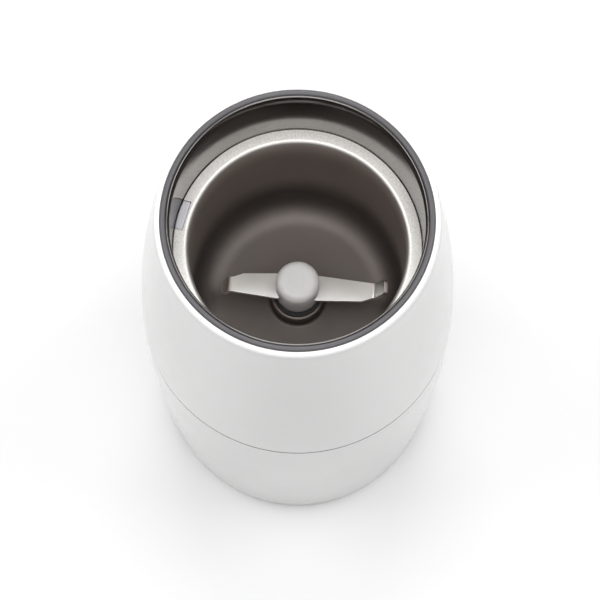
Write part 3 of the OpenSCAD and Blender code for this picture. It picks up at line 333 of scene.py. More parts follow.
def box(low_corner, high_corner):
    """A bmesh block between two corners."""
    bm = bmesh.new()
    bmesh.ops.create_cube(bm, size=1)
    first, last = Vector(low_corner), Vector(high_corner)
    bmesh.ops.scale(bm, vec=last - first, verts=bm.verts)
    bmesh.ops.translate(bm, vec=(last + first) / 2, verts=bm.verts)
    return bm


def rod(radius, z0, z1, steps=POST_STEPS, end_radius=None):
    """A bmesh cylinder, or a cone, on the Z axis."""
    bm = bmesh.new()
    bmesh.ops.create_cone(
        bm, cap_ends=True, segments=steps, radius1=radius,
        radius2=radius if end_radius is None else end_radius, depth=z1 - z0,
    )
    return moved(bm, shift(0, 0, (z0 + z1) / 2))


def prism(points, z0, z1):
    """A bmesh that stands on a flat outline of (x, y) points."""
    bm = bmesh.new()
    face = bm.faces.new([bm.verts.new((x, y, z0)) for x, y in points])
    lifted = bmesh.ops.extrude_face_region(bm, geom=[face], use_keep_orig=True)
    verts = [item for item in lifted["geom"] if isinstance(item, bmesh.types.BMVert)]
    bmesh.ops.translate(bm, vec=(0, 0, z1 - z0), verts=verts)
    bmesh.ops.recalc_face_normals(bm, faces=bm.faces)
    return bm


def joined(bmeshes):
    """One bmesh that holds all of the others."""
    whole = bmesh.new()
    for bm in bmeshes:
        mesh = bpy.data.meshes.new("part")
        bm.to_mesh(mesh)
        bm.free()
        whole.from_mesh(mesh)
        bpy.data.meshes.remove(mesh)
    return whole


def to_object(bm, name):
    """A new object that holds the bmesh, which is freed."""
    mesh = bpy.data.meshes.new(name)
    bm.to_mesh(mesh)
    bm.free()
    piece = bpy.data.objects.new(name, mesh)
    bpy.context.scene.collection.objects.link(piece)
    return piece


def combine(piece, added, removed):
    """Joins bmeshes to a piece, then cuts others out of it."""
    steps = [("UNION", bm) for bm in added] + [("DIFFERENCE", bm) for bm in removed]
    cutters = []
    for operation, bm in steps:
        cutter = to_object(bm, piece.name + "_cutter")
        modifier = piece.modifiers.new(operation.lower(), "BOOLEAN")
        modifier.object = cutter
        modifier.operation = operation
        modifier.solver = "MANIFOLD"
        cutters.append(cutter)
    graph = bpy.context.evaluated_depsgraph_get()
    mesh = bpy.data.meshes.new_from_object(piece.evaluated_get(graph))
    piece.modifiers.clear()
    old, piece.data = piece.data, mesh
    bpy.data.meshes.remove(old)
    mesh.name = piece.name
    for cutter in cutters:
        bpy.data.meshes.remove(cutter.data)


def settle(piece, body, slot, node, *finishes):
    """Smooths and dresses a piece, hangs it on its body and hides the CAD node it stands for. The
    slot is not used.
    """
    piece.data.shade_smooth()
    piece.data.set_sharp_from_angle(angle=SHARP_ANGLE)
    piece.data.materials.clear()
    for key in finishes:
        piece.data.materials.append(finish_of(key))
    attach(piece, body)
    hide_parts(node)


# --- material helpers

class Nodes:
    """The node tree of a material or a world, built node by node."""

    def __init__(self, owner):
        owner.use_nodes = True
        self.tree = owner.node_tree
        self.tree.nodes.clear()

    def add(self, kind, *values, named=None, **settings):
        """A new node. Its inputs, in order or named, take numbers, colours or outputs."""
        node = self.tree.nodes.new(kind)
        for key, value in settings.items():
            setattr(node, key, value)
        for key, value in (*enumerate(values), *(named or {}).items()):
            if isinstance(value, bpy.types.NodeSocket):
                self.tree.links.new(value, node.inputs[key])
            else:
                node.inputs[key].default_value = value
        return node

    def math(self, operation, *values):
        """The output of a Math node. The values are outputs or numbers."""
        return self.add("ShaderNodeMath", *values, operation=operation).outputs[0]

    def ramp(self, factor, low_value, high_value, start=0.0, end=1.0):
        """Maps a factor onto a range of numbers."""
        return self.add("ShaderNodeMapRange", factor, start, end, low_value, high_value).outputs[0]


class Finish(Nodes):
    """A material with a Principled shader."""

    def __init__(self, name, roughness, metallic=0.0):
        self.material = bpy.data.materials.new(name)
        super().__init__(self.material)
        self.shader = self.add("ShaderNodeBsdfPrincipled")
        self.set(Roughness=roughness, Metallic=metallic)
        self.add("ShaderNodeOutputMaterial", self.shader.outputs["BSDF"])
        self.place = self.add("ShaderNodeTexCoord").outputs["Object"]

    def set(self, **values):
        """Sets sockets of the shader; an underscore stands for a space."""
        for key, value in values.items():
            self.shader.inputs[key.replace("_", " ")].default_value = value

    def surface(self, tone, roughness, height, strength, distance):
        """Feeds the shader's colour, roughness and bump with outputs."""
        relief = {"Height": height, "Strength": strength, "Distance": distance}
        normal = self.add("ShaderNodeBump", named=relief).outputs[0]
        for key, output in ("Base Color", tone), ("Roughness", roughness), ("Normal", normal):
            self.tree.links.new(output, self.shader.inputs[key])
        return self

    def noise(self, scale, detail=2.0, roughness=0.5, vector=None):
        inputs = {"Scale": scale, "Detail": detail, "Roughness": roughness}
        return self.add("ShaderNodeTexNoise", vector or self.place, named=inputs).outputs["Fac"]

    def contrast(self, factor):
        """Spreads the middle of a noise over the whole range."""
        return self.ramp(factor, 0, 1, 0.3, 0.7)

    def mix(self, factor, first, second):
        """Mixes two colours, given as outputs or as linear colours."""
        inputs = {MIX_A: first, MIX_B: second}
        return self.add("ShaderNodeMix", factor, named=inputs, data_type="RGBA").outputs[MIX_RESULT]

    def tones(self, factor, tint, dark, light):
        """Runs from a darker to a lighter version of a colour."""
        return self.mix(factor, shade(tint, dark), shade(tint, light))

    def split(self, vector):
        """The three components of a vector."""
        return self.add("ShaderNodeSeparateXYZ", vector).outputs

    def vector(self, operation, source, named=None):
        """A Vector Math node's outputs."""
        return self.add("ShaderNodeVectorMath", source, named=named, operation=operation).outputs

    def turned(self, along, across):
        """Coordinates that run round the Z axis: streaks along it, fine lines across it."""
        x, y, z = self.split(self.place)
        flat = self.add("ShaderNodeCombineXYZ", x, y).outputs[0]
        radius = self.vector("LENGTH", flat)["Value"]
        depth = self.math("MULTIPLY", self.math("ADD", radius, z), across)
        unit = self.vector("NORMALIZE", flat)[0]
        across_x, across_y, _ = self.split(self.vector("SCALE", unit, {"Scale": along})[0])
        return self.add("ShaderNodeCombineXYZ", across_x, across_y, depth).outputs[0]


def shade(tint, factor):
    """A lighter or darker version of a colour, with full alpha."""
    return (*[min(1.0, c * factor) for c in tint[:3]], 1.0)


def gloss_plastic(name, tint):
    """Moulded plastic with a high gloss and a barely uneven surface."""
    finish = Finish(name, 0.2)
    finish.set(Coat_Weight=0.25, Coat_Roughness=0.08, IOR=1.49)
    return finish.surface(
        finish.tones(finish.noise(14, 3), tint, 0.985, 1.015),
        finish.ramp(finish.noise(60, 4), 0.17, 0.25),
        finish.noise(420), 0.035, 0.0002,
    )


def satin_plastic(name, tint, roughness, grain=0.12, dark=0.9, light=1.1):
    """Moulded plastic with a fine spark-eroded grain."""
    finish = Finish(name, roughness)
    return finish.surface(
        finish.tones(finish.noise(55, 5, 0.6), tint, dark, light),
        finish.ramp(finish.noise(180, 3), roughness - 0.06, roughness + 0.07),
        finish.noise(2600), grain, 0.00006,
    )


def milky_plastic(name, tint, depth):
    """Satin plastic that lets light travel a little way under its skin."""
    finish = satin_plastic(name, tint, 0.42, 0.08, 0.95, 1.04)
    finish.set(Subsurface_Weight=1.0, Subsurface_Radius=(1.0, 0.97, 0.93), Subsurface_Scale=depth)
    return finish


def rubber(name, tint):
    """Dull rubber with a faint dusty bloom."""
    finish = Finish(name, 0.75)
    bloom = finish.noise(90, 6, 0.65)
    return finish.surface(
        finish.tones(bloom, tint, 0.8, 1.7), finish.ramp(bloom, 0.6, 0.85),
        finish.noise(1800, 3), 0.3, 0.00008,
    )


def turned_metal(name, tint, roughness, lines=0.35, smudge=0.1, edge=1.0):
    """Metal brushed or turned round the grinder's axis. Edge dims its glancing mirror."""
    finish = Finish(name, roughness, 1.0)
    finish.set(Specular_Tint=(edge, edge, edge, 1.0))
    streak = finish.noise(1.0, 4, 0.65, finish.turned(BRUSH_ALONG, BRUSH_ACROSS))
    broad = finish.noise(1.0, 2, 0.5, finish.turned(BRUSH_ALONG * 0.6, BRUSH_ACROSS * 0.09))
    both = finish.math("MULTIPLY_ADD", streak, 0.65, finish.math("MULTIPLY", broad, 0.35))
    cloud = finish.math("MULTIPLY", finish.noise(48, 4, 0.6), smudge)
    spread = finish.math("MULTIPLY_ADD", both, 0.14, cloud)
    return finish.surface(
        finish.tones(finish.contrast(both), tint, 0.9, 1.08),
        finish.math("ADD", spread, roughness - 0.07 - smudge / 2),
        streak, lines, 0.00002,
    )


def speckled_metal(name, tint, roughness):
    """Bead-blasted metal with a fine grain of light and dark specks."""
    finish = Finish(name, roughness, 1.0)
    speck = finish.noise(2300, 3, 0.75)
    return finish.surface(
        finish.tones(finish.contrast(speck), tint, 0.8, 1.16),
        finish.math("MULTIPLY_ADD", finish.noise(70, 4, 0.6), 0.12, roughness - 0.06),
        speck, 0.35, 0.00004,
    )


def bowl_metal(name, tint):
    """The bowl's brushed steel, with a painted highlight near its lip and painted shade that
    darkens it towards its floor.
    """
    finish = Finish(name, 0.38, 1.0)
    streak = finish.noise(1.0, 4, 0.65, finish.turned(BRUSH_ALONG, BRUSH_ACROSS))
    cloud = finish.noise(60, 4, 0.6)
    height = finish.split(finish.place)[2]
    # Painted shade: darker and rougher towards the floor, along a wavy edge.
    wavy = finish.math("MULTIPLY_ADD", cloud, 6 * MM, height)
    painted_floor_shade = finish.ramp(wavy, 1.0, 0.0, FLOOR_UNDER_Z + 4 * MM, FLOOR_UNDER_Z + 24 * MM)
    brushed_tone = finish.tones(finish.contrast(streak), tint, 0.9, 1.1)
    # Painted highlight: the wall grows brighter towards the lip.
    near_lip = finish.ramp(height, 0.0, 1.0, LEDGE_Z - 12 * MM, LEDGE_Z)
    painted_lip_light = finish.mix(finish.math("POWER", near_lip, 2.0), brushed_tone, shade(tint, 2.0))
    return finish.surface(
        finish.mix(painted_floor_shade, painted_lip_light, shade(tint, 0.42)),
        finish.math("MULTIPLY_ADD", cloud, 0.08, finish.ramp(painted_floor_shade, 0.36, 0.5)),
        streak, 0.4, 0.00002,
    )


def sheet_metal(name, tint, roughness):
    """Stamped or plated metal with fine scratches in every direction."""
    finish = Finish(name, roughness, 1.0)
    cloud = finish.noise(120, 5, 0.6)
    return finish.surface(
        finish.tones(cloud, tint, 0.88, 1.07),
        finish.ramp(cloud, roughness - 0.07, roughness + 0.09, 0.3, 0.7),
        finish.noise(1500, 4, 0.7), 0.2, 0.00003,
    )


def banded_metal(name, tint, roughness, pitch):
    """Stacked sheets or laid wire: bands a pitch apart, one above the other."""
    finish = Finish(name, roughness, 1.0)
    wobble = finish.math("MULTIPLY", finish.noise(160, 3), pitch * 0.5)
    height = finish.math("ADD", finish.split(finish.place)[2], wobble)
    angle = finish.math("MULTIPLY", height, pi / pitch)
    wave = finish.math("ABSOLUTE", finish.math("SINE", angle))
    return finish.surface(
        finish.tones(finish.ramp(wave, 0, 1, 0.0, 0.5), tint, 0.45, 1.0),
        finish.ramp(finish.noise(300, 4), roughness - 0.08, roughness + 0.1),
        wave, 0.6, pitch * 0.25,
    )


def cast_metal(name, tint):
    """Die-cast metal with a mottled skin."""
    finish = Finish(name, 0.5, 1.0)
    skin = finish.noise(240, 6, 0.7)
    return finish.surface(
        finish.tones(skin, tint, 0.75, 1.1), finish.ramp(skin, 0.38, 0.62),
        finish.noise(900, 5, 0.7), 0.35, 0.0001,
    )


FINISHES = {}


def finish_of(key):
    """The material of that name, made when it is first asked for."""
    if key not in FINISHES:
        tints = bpy.context.scene.grinder_finish
        makers = {
            "shell": (gloss_plastic, "Glossy white plastic", tints.shell),
            # Painted shade in the seam's gap.
            "seam": (satin_plastic, "Dull parting face", tints.seam, 0.6),
            "ring": (satin_plastic, "Dark satin ring", tints.ring, 0.34, 0.06),
            "collar": (turned_metal, "Satin collar steel", tints.collar, 0.13, 0.12, 0.05, 0.6),
            "ledge": (speckled_metal, "Blasted ledge steel", tints.ledge, 0.46),
            # The bowl's colour carries painted shade and a painted highlight.
            "bowl": (bowl_metal, "Dull bowl steel", tints.bowl),
            "lip": (turned_metal, "Bright lip steel", shade(tints.ledge, 0.83), 0.5, 0.2),
            "blade": (sheet_metal, "Stamped blade steel", tints.blade, 0.42),
            "hub": (milky_plastic, "Pale hub plastic", tints.hub, 6 * MM),
            "guide": (satin_plastic, "Grey guide plastic", tints.guide, 0.4),
            "pad": (satin_plastic, "Grey pad plastic", tints.pad, 0.4),
            "cover": (satin_plastic, "White cover plastic", tints.cover, 0.5, 0.3),
            "rubber": (rubber, "Dark rubber", tints.rubber),
            "black": (satin_plastic, "Black plastic", (0.028, 0.028, 0.03), 0.45),
            "red": (satin_plastic, "Red button plastic", (0.42, 0.03, 0.02), 0.4),
            "zinc": (sheet_metal, "Zinc-plated steel", (0.62, 0.62, 0.6), 0.3),
            "wire": (sheet_metal, "Spring wire", (0.5, 0.49, 0.47), 0.28),
            "ground": (turned_metal, "Ground shaft steel", (0.62, 0.61, 0.6), 0.22),
            "cast": (cast_metal, "Cast zinc", (0.5, 0.5, 0.5)),
            "sheets": (banded_metal, "Stacked iron sheets", (0.22, 0.22, 0.23), 0.45, 0.0005),
            "coil": (banded_metal, "Enamelled copper wire", (0.55, 0.2, 0.075), 0.3, 0.0006),
            "bars": (turned_metal, "Turned copper bars", (0.75, 0.36, 0.2), 0.3),
            "brass": (sheet_metal, "Yellow brass", (0.76, 0.56, 0.26), 0.32),
            "bronze": (cast_metal, "Sintered bronze", (0.5, 0.3, 0.16)),
            "phenolic": (satin_plastic, "Brown phenolic", (0.12, 0.05, 0.025), 0.5, 0.3),
            "carbon": (satin_plastic, "Pressed carbon", (0.02, 0.02, 0.02), 0.6, 0.5),
        }
        maker, *values = makers[key]
        FINISHES[key] = maker(*values).material
    return FINISHES[key]


# --- shells

def seam_height(shells):
    """Height of the middle of the seam."""
    return SEAM_Z - shells.seam_gap / 2


def barrel(shells, inset, z0, z1, count=28):
    """Points of the barrel's side between two heights, on arcs that are upright at the seam."""
    seam = seam_height(shells)
    if (z0 + z1) / 2 > seam:
        rise, drop = RIM_Z - shells.land - seam, shells.body_r - shells.rim_r
    else:
        rise, drop = seam - BASE_Z, shells.body_r - shells.base_r
    arc = (rise * rise + drop * drop) / (2 * drop)
    points = []
    for i in range(count + 1):
        z = z0 + (z1 - z0) * i / count
        reach = sqrt((arc - inset) ** 2 - (z - seam) ** 2)
        points.append((shells.body_r - arc + reach, z))
    return points


def screw_posts(post_r, *rows):
    """Screw posts with webs to the wall, and one bmesh of their holes.

    A row is (directions, distance, reach of the web, z0, z1, the bore's radius, z0 and z1).
    """
    half = post_r - 0.4 * MM
    posts, holes = [], []
    for angles, ring_r, web, z0, z1, *bore in rows:
        for angle in angles:
            rib = box((ring_r, -half, z0), (ring_r + web, half, z1))
            posts += [set_out(rod(post_r, z0, z1), ring_r, angle), moved(rib, about_z(angle))]
            holes.append(set_out(rod(*bore, HOLE_STEPS), ring_r, angle))
    return posts, [joined(holes)]


def post_turns(interlock):
    """Directions of the cradle's posts, clear of the interlock, and of the seam's posts."""
    first = interlock.azimuth - radians(34)
    return around(3, first), around(3, first - radians(60))


def paint_seam_shade(piece, shells, edge_z):
    """Gives the second finish, a dark grey that paints the shade in the gap, to the parting faces
    that show in the seam.
    """
    tongue_r = shells.body_r - shells.wall
    for face in piece.data.polygons:
        near = abs(face.center.z - edge_z) < shells.seam_round * 0.5
        if near and face.center.xy.length > tongue_r:
            face.material_index = 1


class GRINDER_OT_upper_shell(bpy.types.Operator):
    """Adds the upper shell, with the rim, the ring's seat and the screw posts"""
    bl_idname = "grinder.upper_shell"
    bl_label = "Upper shell"

    def execute(self, context):
        shells = context.scene.grinder_shells
        cradle_turns, seam_turns = post_turns(context.scene.grinder_interlock)
        seat_z = RING_Z - 2 * MM
        outer = barrel(shells, 0, SEAM_Z, RIM_Z - shells.land)
        inner = barrel(shells, shells.wall, SEAM_Z, seat_z)
        ring_r = high("rim_ring").x + 0.05 * MM
        seat_r = high("steel_collar").x + 0.3 * MM
        corners = [
            (*outer[0], shells.seam_round), *outer[1:],
            (shells.rim_r, RIM_Z, shells.rim_round),
            (ring_r, RIM_Z, shells.ring_edge_round), (ring_r, RING_Z),
            (seat_r, RING_Z), (seat_r, seat_z), *reversed(inner),
        ]
        piece = to_object(lathe(corners, LARGE_STEPS), "Upper_shell")
        combine(piece, *screw_posts(
            shells.post_r,
            (cradle_turns, shells.post_ring_r, POST_WEB, 90.5 * MM, 103.5 * MM,
             PILOT_R, 89 * MM, 100.5 * MM),
            (seam_turns, shells.post_ring_r, POST_WEB, SEAM_Z, SEAM_Z + 12 * MM,
             PILOT_R, SEAM_Z - MM, SEAM_Z + 10 * MM),
        ))
        settle(piece, "housing", "white_shell", "upper_housing", "shell", "seam")
        paint_seam_shade(piece, shells, SEAM_Z)
        return {"FINISHED"}


class GRINDER_OT_lower_shell(bpy.types.Operator):
    """Adds the lower shell, with the tongue, the screw posts and the cord's inlet"""
    bl_idname = "grinder.lower_shell"
    bl_label = "Lower shell"

    def execute(self, context):
        shells, base = context.scene.grinder_shells, context.scene.grinder_base
        cradle_turns, seam_turns = post_turns(context.scene.grinder_interlock)
        seam = seam_height(shells)
        top, floor = seam - shells.seam_gap / 2, BASE_Z + base.cover_t
        outer = barrel(shells, 0, BASE_Z + shells.base_round, top)
        inner = barrel(shells, shells.wall, floor, top)
        cover_hole_r = shells.base_r - shells.wall
        tongue_r = shells.body_r - shells.wall - 0.1 * MM
        tongue_in, tongue_top = tongue_r - shells.tongue_t, seam + shells.tongue
        corners = [
            (outer[0][0], BASE_Z, shells.base_round), *outer[1:-1],
            (outer[-1][0], top, shells.seam_round),
            (tongue_r, top), (tongue_r, tongue_top, 0.3 * MM),
            (tongue_in, tongue_top, 0.3 * MM),
            (tongue_in, seam - 4 * MM), (inner[-4][0], seam - 5 * MM),
            *[point for point in reversed(inner) if point[1] < seam - 6 * MM],
            (cover_hole_r, floor), (cover_hole_r, BASE_Z),
        ]
        piece = to_object(lathe(corners, LARGE_STEPS), "Lower_shell")
        posts, holes = screw_posts(
            shells.post_r,
            (seam_turns, shells.post_ring_r, POST_WEB, top - 14 * MM, top,
             CLEAR_R, top - 16 * MM, top + MM),
            (SCREW_TURNS, base.screw_ring_r, 6 * MM, floor, floor + 14 * MM,
             PILOT_R, BASE_Z, floor + 8.5 * MM),
        )
        notch_r, notch_z = shells.post_r + 0.2 * MM, low("cradle_screws").z - 0.2 * MM
        notches = [
            set_out(rod(notch_r, notch_z, tongue_top + MM), shells.post_ring_r, angle)
            for angle in cradle_turns
        ]
        hole_r = base.gland_bore_r + base.gland_t + 0.05 * MM
        seat_r, seat = base.gland_flange_r + 0.2 * MM, high("cord_gland").y - FLANGE_T
        inlet = [
            at_inlet(rod(hole_r, 34 * MM, 50 * MM, SMALL_STEPS)),
            at_inlet(rod(seat_r, seat, 52 * MM, SMALL_STEPS)),
        ]
        combine(piece, posts, notches + inlet + holes)
        settle(piece, "housing", "white_shell", "lower_housing", "shell", "seam")
        paint_seam_shade(piece, shells, SEAM_Z - shells.seam_gap)
        return {"FINISHED"}


class GRINDER_OT_rim_ring(bpy.types.Operator):
    """Adds the dark ring round the mouth"""
    bl_idname = "grinder.rim_ring"
    bl_label = "Rim ring"

    def execute(self, context):
        bowl = context.scene.grinder_bowl
        outer = high("rim_ring").x
        inner = bowl.collar_r + bowl.collar_t + bowl.flare + 0.04 * MM
        bead = (outer - inner) / 2 * 0.96
        corners = [
            (inner, RING_Z), (outer, RING_Z), (outer, RING_TOP_Z, bead), (inner, RING_TOP_Z, bead),
        ]
        piece = to_object(lathe(corners, LARGE_STEPS), "Rim_ring")
        settle(piece, "housing", "ring_plastic", "rim_ring", "ring")
        return {"FINISHED"}


# --- collar and bowl

class GRINDER_OT_collar(bpy.types.Operator):
    """Adds the upright steel collar that takes the lid"""
    bl_idname = "grinder.collar"
    bl_label = "Lid collar"

    def execute(self, context):
        bowl = context.scene.grinder_bowl
        inner, outer = bowl.collar_r, bowl.collar_r + bowl.collar_t
        edge, bend, foot = bowl.collar_t * 0.45, 1.2 * MM, 0.3 * MM
        bend_z = COLLAR_TOP_Z - bowl.flare_h
        corners = [
            (inner + foot, LEDGE_Z), (outer, LEDGE_Z), (outer, bend_z, bend),
            (outer + bowl.flare, COLLAR_TOP_Z, edge), (inner + bowl.flare, COLLAR_TOP_Z, edge),
            (inner, bend_z, bend), (inner, LEDGE_Z + foot),
        ]
        piece = to_object(lathe(corners, LARGE_STEPS), "Lid_collar")
        settle(piece, "housing", "brushed_sheet", "steel_collar", "collar")
        return {"FINISHED"}


class GRINDER_OT_bowl(bpy.types.Operator):
    """Adds the deep-drawn grinding bowl with its lip and ledge"""
    bl_idname = "grinder.bowl"
    bl_label = "Grinding bowl"

    def execute(self, context):
        bowl, interlock = context.scene.grinder_bowl, context.scene.grinder_interlock
        sheet, wall_r, boss_r = bowl.sheet, bowl.bowl_r, bowl.boss_r
        floor = FLOOR_UNDER_Z + sheet
        boss_top = floor + bowl.boss_h
        rim_r = bowl.collar_r + bowl.collar_t
        groove_r, groove_z = bowl.collar_r + 0.06 * MM, LEDGE_Z - bowl.groove_d
        groove_in = groove_r - bowl.groove_w
        corners = [
            (rim_r, LEDGE_Z), (groove_r, LEDGE_Z), (groove_r, groove_z),
            (groove_in, groove_z), (groove_in, LEDGE_Z),
            (wall_r, LEDGE_Z, bowl.lip_round), (wall_r, floor, bowl.corner),
            (boss_r, floor, 1.2 * MM), (boss_r, boss_top, 0.9 * MM),
            (bowl.seal_hole_r, boss_top), (bowl.seal_hole_r, boss_top - sheet),
            (boss_r - sheet, boss_top - sheet), (boss_r - sheet, floor - sheet),
            (wall_r + sheet, floor - sheet, bowl.corner + sheet),
            (wall_r + sheet, LEDGE_Z - sheet, bowl.lip_round - sheet), (rim_r, LEDGE_Z - sheet),
        ]
        piece = to_object(lathe(corners, LARGE_STEPS), "Grinding_bowl")
        half = interlock.pad_w / 2 + PAD_GAP
        notch_in = bowl.collar_r - PAD_GAP - interlock.pad_d - 0.12 * MM
        notch = box((notch_in, -half, LEDGE_Z - 3 * MM), (rim_r + MM, half, LEDGE_Z + MM))
        combine(piece, [], [at_lock(notch, interlock)])
        finishes = ("ledge", "lip", "bowl", "collar")
        settle(piece, "housing", "brushed_sheet", "grinding_bowl", *finishes)
        for face in piece.data.polygons:
            reach, height = face.center.xy.length, face.center.z
            if height > LEDGE_Z - 0.04 * MM:
                face.material_index = 0
            elif height > LEDGE_Z - bowl.lip_round and reach < wall_r + bowl.lip_round:
                face.material_index = 1
            elif height > groove_z - 0.01 * MM and reach > groove_in - 0.02 * MM:
                face.material_index = 3
            else:
                face.material_index = 2
        return {"FINISHED"}


class GRINDER_OT_interlock(bpy.types.Operator):
    """Adds the push pad on the ledge, with the rod and the pin under it"""
    bl_idname = "grinder.interlock"
    bl_label = "Interlock pad"

    def execute(self, context):
        bowl, interlock = context.scene.grinder_bowl, context.scene.grinder_interlock
        pad_out = bowl.collar_r - PAD_GAP
        pad_in = pad_out - interlock.pad_d
        half = interlock.pad_w / 2
        sweep = asin(half / pad_out)
        rim = [
            (pad_out * cos(angle), pad_out * sin(angle))
            for angle in [sweep * (i / 8 - 1) for i in range(17)]
        ]
        pad = prism([*rim, (pad_in, half), (pad_in, -half)], LEDGE_Z - interlock.pad_h, LEDGE_Z)
        round_sharp(pad, interlock.edge_round)
        rod_half, rod_low, rod_top = 0.8 * MM, 94 * MM, LEDGE_Z - 3.5 * MM
        rod_x = pad_out - rod_half
        stem = box((rod_x - rod_half, -3 * MM, rod_low), (rod_x + rod_half, 3 * MM, rod_top))
        bevel(stem, stem.edges[:], 0.2 * MM)
        pin_r, tip_r, tip_z = 1.5 * MM, 0.6 * MM, low("interlock_plunger").z
        pin = rod(pin_r, tip_z + MM, rod_low + 0.3 * MM)
        tip = rod(tip_r, tip_z, tip_z + MM, end_radius=pin_r)
        parts = [pad, stem] + [moved(bm, shift(rod_x, 0, 0)) for bm in (pin, tip)]
        push = to_object(at_lock(joined(parts), interlock), "Interlock_pad")
        settle(push, "plunger", "pad_plastic", "interlock_plunger", "pad")
        return {"FINISHED"}


# --- blade, hub and seal

def between(x, knots):
    """The straight-line value at x of (x, value) knots."""
    for (x0, y0), (x1, y1) in zip(knots, knots[1:]):
        if x <= x1:
            return y0 + (y1 - y0) * (x - x0) / (x1 - x0)
    return knots[-1][1]


def blade_arm(blade, bend_r, tip_l, angle):
    """One arm along +X, with its tip bent up, or down where the angle is negative."""
    bend_in, corner = 1.6 * MM, 1.2 * MM
    setback = bend_in * tan(abs(angle) / 2)
    flat_end = bend_r - setback
    tip_start = flat_end + bend_in * abs(angle)
    whole = tip_start + tip_l - setback
    near, root = -blade.tip_offset, blade.root_w / 2
    far = near + blade.tip_w
    far_edge = [(0, root), (blade.hub_r, root), (flat_end, far), (whole, far)]
    near_edge = [
        (0, -root), (blade.hub_r, -root), (bend_r - 4 * MM, -root + 0.6 * MM), (flat_end, near),
        (whole, near),
    ]
    stations = [(whole - corner) * i / 90 for i in range(90)]
    stations += [whole - corner * (1 - sin(pi / 2 * i / 10)) for i in range(11)]
    bm = bmesh.new()
    rings = []
    for along in stations:
        lean = min(max(0.0, along - flat_end) / bend_in, abs(angle))
        reach = max(0.0, along - tip_start)
        x = min(along, flat_end) + bend_in * sin(lean) + reach * cos(lean)
        z = bend_in * (1 - cos(lean)) + reach * sin(lean)
        across = Vector((-sin(lean), 0, cos(lean))) * blade.thickness / 2
        past = max(0.0, along - (whole - corner))
        trim = corner - sqrt(max(0.0, corner ** 2 - past ** 2))
        low_y, high_y = between(along, near_edge) + trim * 0.5, between(along, far_edge) - trim
        ring = [
            Vector((x, y, z)) + across * side
            for y, side in ((low_y, 1), (high_y, 1), (high_y, -1), (low_y, -1))
        ]
        if angle < 0:
            ring = [Vector((point.x, point.y, -point.z)) for point in ring]
        rings.append([bm.verts.new(point) for point in ring])
    for first, second in zip(rings, rings[1:]):
        for i in range(4):
            bm.faces.new((first[i], first[(i + 1) % 4], second[(i + 1) % 4], second[i]))
    bm.faces.new(rings[0])
    bm.faces.new(rings[-1])
    bmesh.ops.recalc_face_normals(bm, faces=bm.faces)
    return round_sharp(bm, 0.12 * MM)


class GRINDER_OT_blade(bpy.types.Operator):
    """Adds the stamped blade with one tip bent up and one bent down"""
    bl_idname = "grinder.blade"
    bl_label = "Blade"

    def execute(self, context):
        blade = context.scene.grinder_blade
        up = blade_arm(blade, blade.up_r, blade.up_l, blade.up_angle)
        down = blade_arm(blade, blade.down_r, blade.down_l, -blade.down_angle)
        whole = joined([up, moved(down, about_z(pi))])
        moved(whole, about_z(blade.azimuth), shift(0, 0, BLADE_Z + blade.thickness / 2))
        settle(to_object(whole, "Blade"), "rotor", "blade_steel", "blade", "blade")
        return {"FINISHED"}


class GRINDER_OT_hub(bpy.types.Operator):
    """Adds the plastic hub that is moulded round the blade"""
    bl_idname = "grinder.hub"
    bl_label = "Blade hub"

    def execute(self, context):
        blade = context.scene.grinder_blade
        hole, hole_top = 4.6 * MM, HUB_TOP_Z - 3 * MM
        dimple, dimple_z = 2.0 * MM, HUB_TOP_Z - 0.15 * MM
        corners = [
            (hole, HUB_Z), (blade.hub_r, HUB_Z, 0.5 * MM),
            (blade.hub_r, HUB_TOP_Z, blade.hub_round),
            (dimple + 0.2 * MM, HUB_TOP_Z, 0.2 * MM), (dimple, dimple_z), (0, dimple_z),
            (0, hole_top), (hole, hole_top),
        ]
        piece = to_object(lathe(corners, HUB_STEPS), "Blade_hub")
        settle(piece, "rotor", "hub_plastic", "blade_hub", "hub")
        return {"FINISHED"}


class GRINDER_OT_seal(bpy.types.Operator):
    """Adds the rubber seal round the shaft, under the hub"""
    bl_idname = "grinder.seal"
    bl_label = "Shaft seal"

    def execute(self, context):
        bowl = context.scene.grinder_bowl
        foot, top = low("shaft_seal").z, high("shaft_seal").z
        step = FLOOR_UNDER_Z + bowl.sheet + bowl.boss_h
        bore, plug, flare = 3.05 * MM, 6.0 * MM, 7.2 * MM
        corners = [
            (bore, foot), (plug, foot, 0.3 * MM), (plug, step), (flare, step, 0.25 * MM),
            (flare - 0.8 * MM, step + 0.9 * MM), (plug - 0.7 * MM, step + 1.3 * MM, 0.3 * MM),
            (plug - 1.6 * MM, top, 0.25 * MM), (bore + 0.4 * MM, top, 0.2 * MM),
            (bore, top - 0.8 * MM),
        ]
        piece = to_object(lathe(corners, SEAL_STEPS), "Shaft_seal")
        settle(piece, "housing", "soft_rubber", "shaft_seal", "rubber")
        return {"FINISHED"}


# --- underside

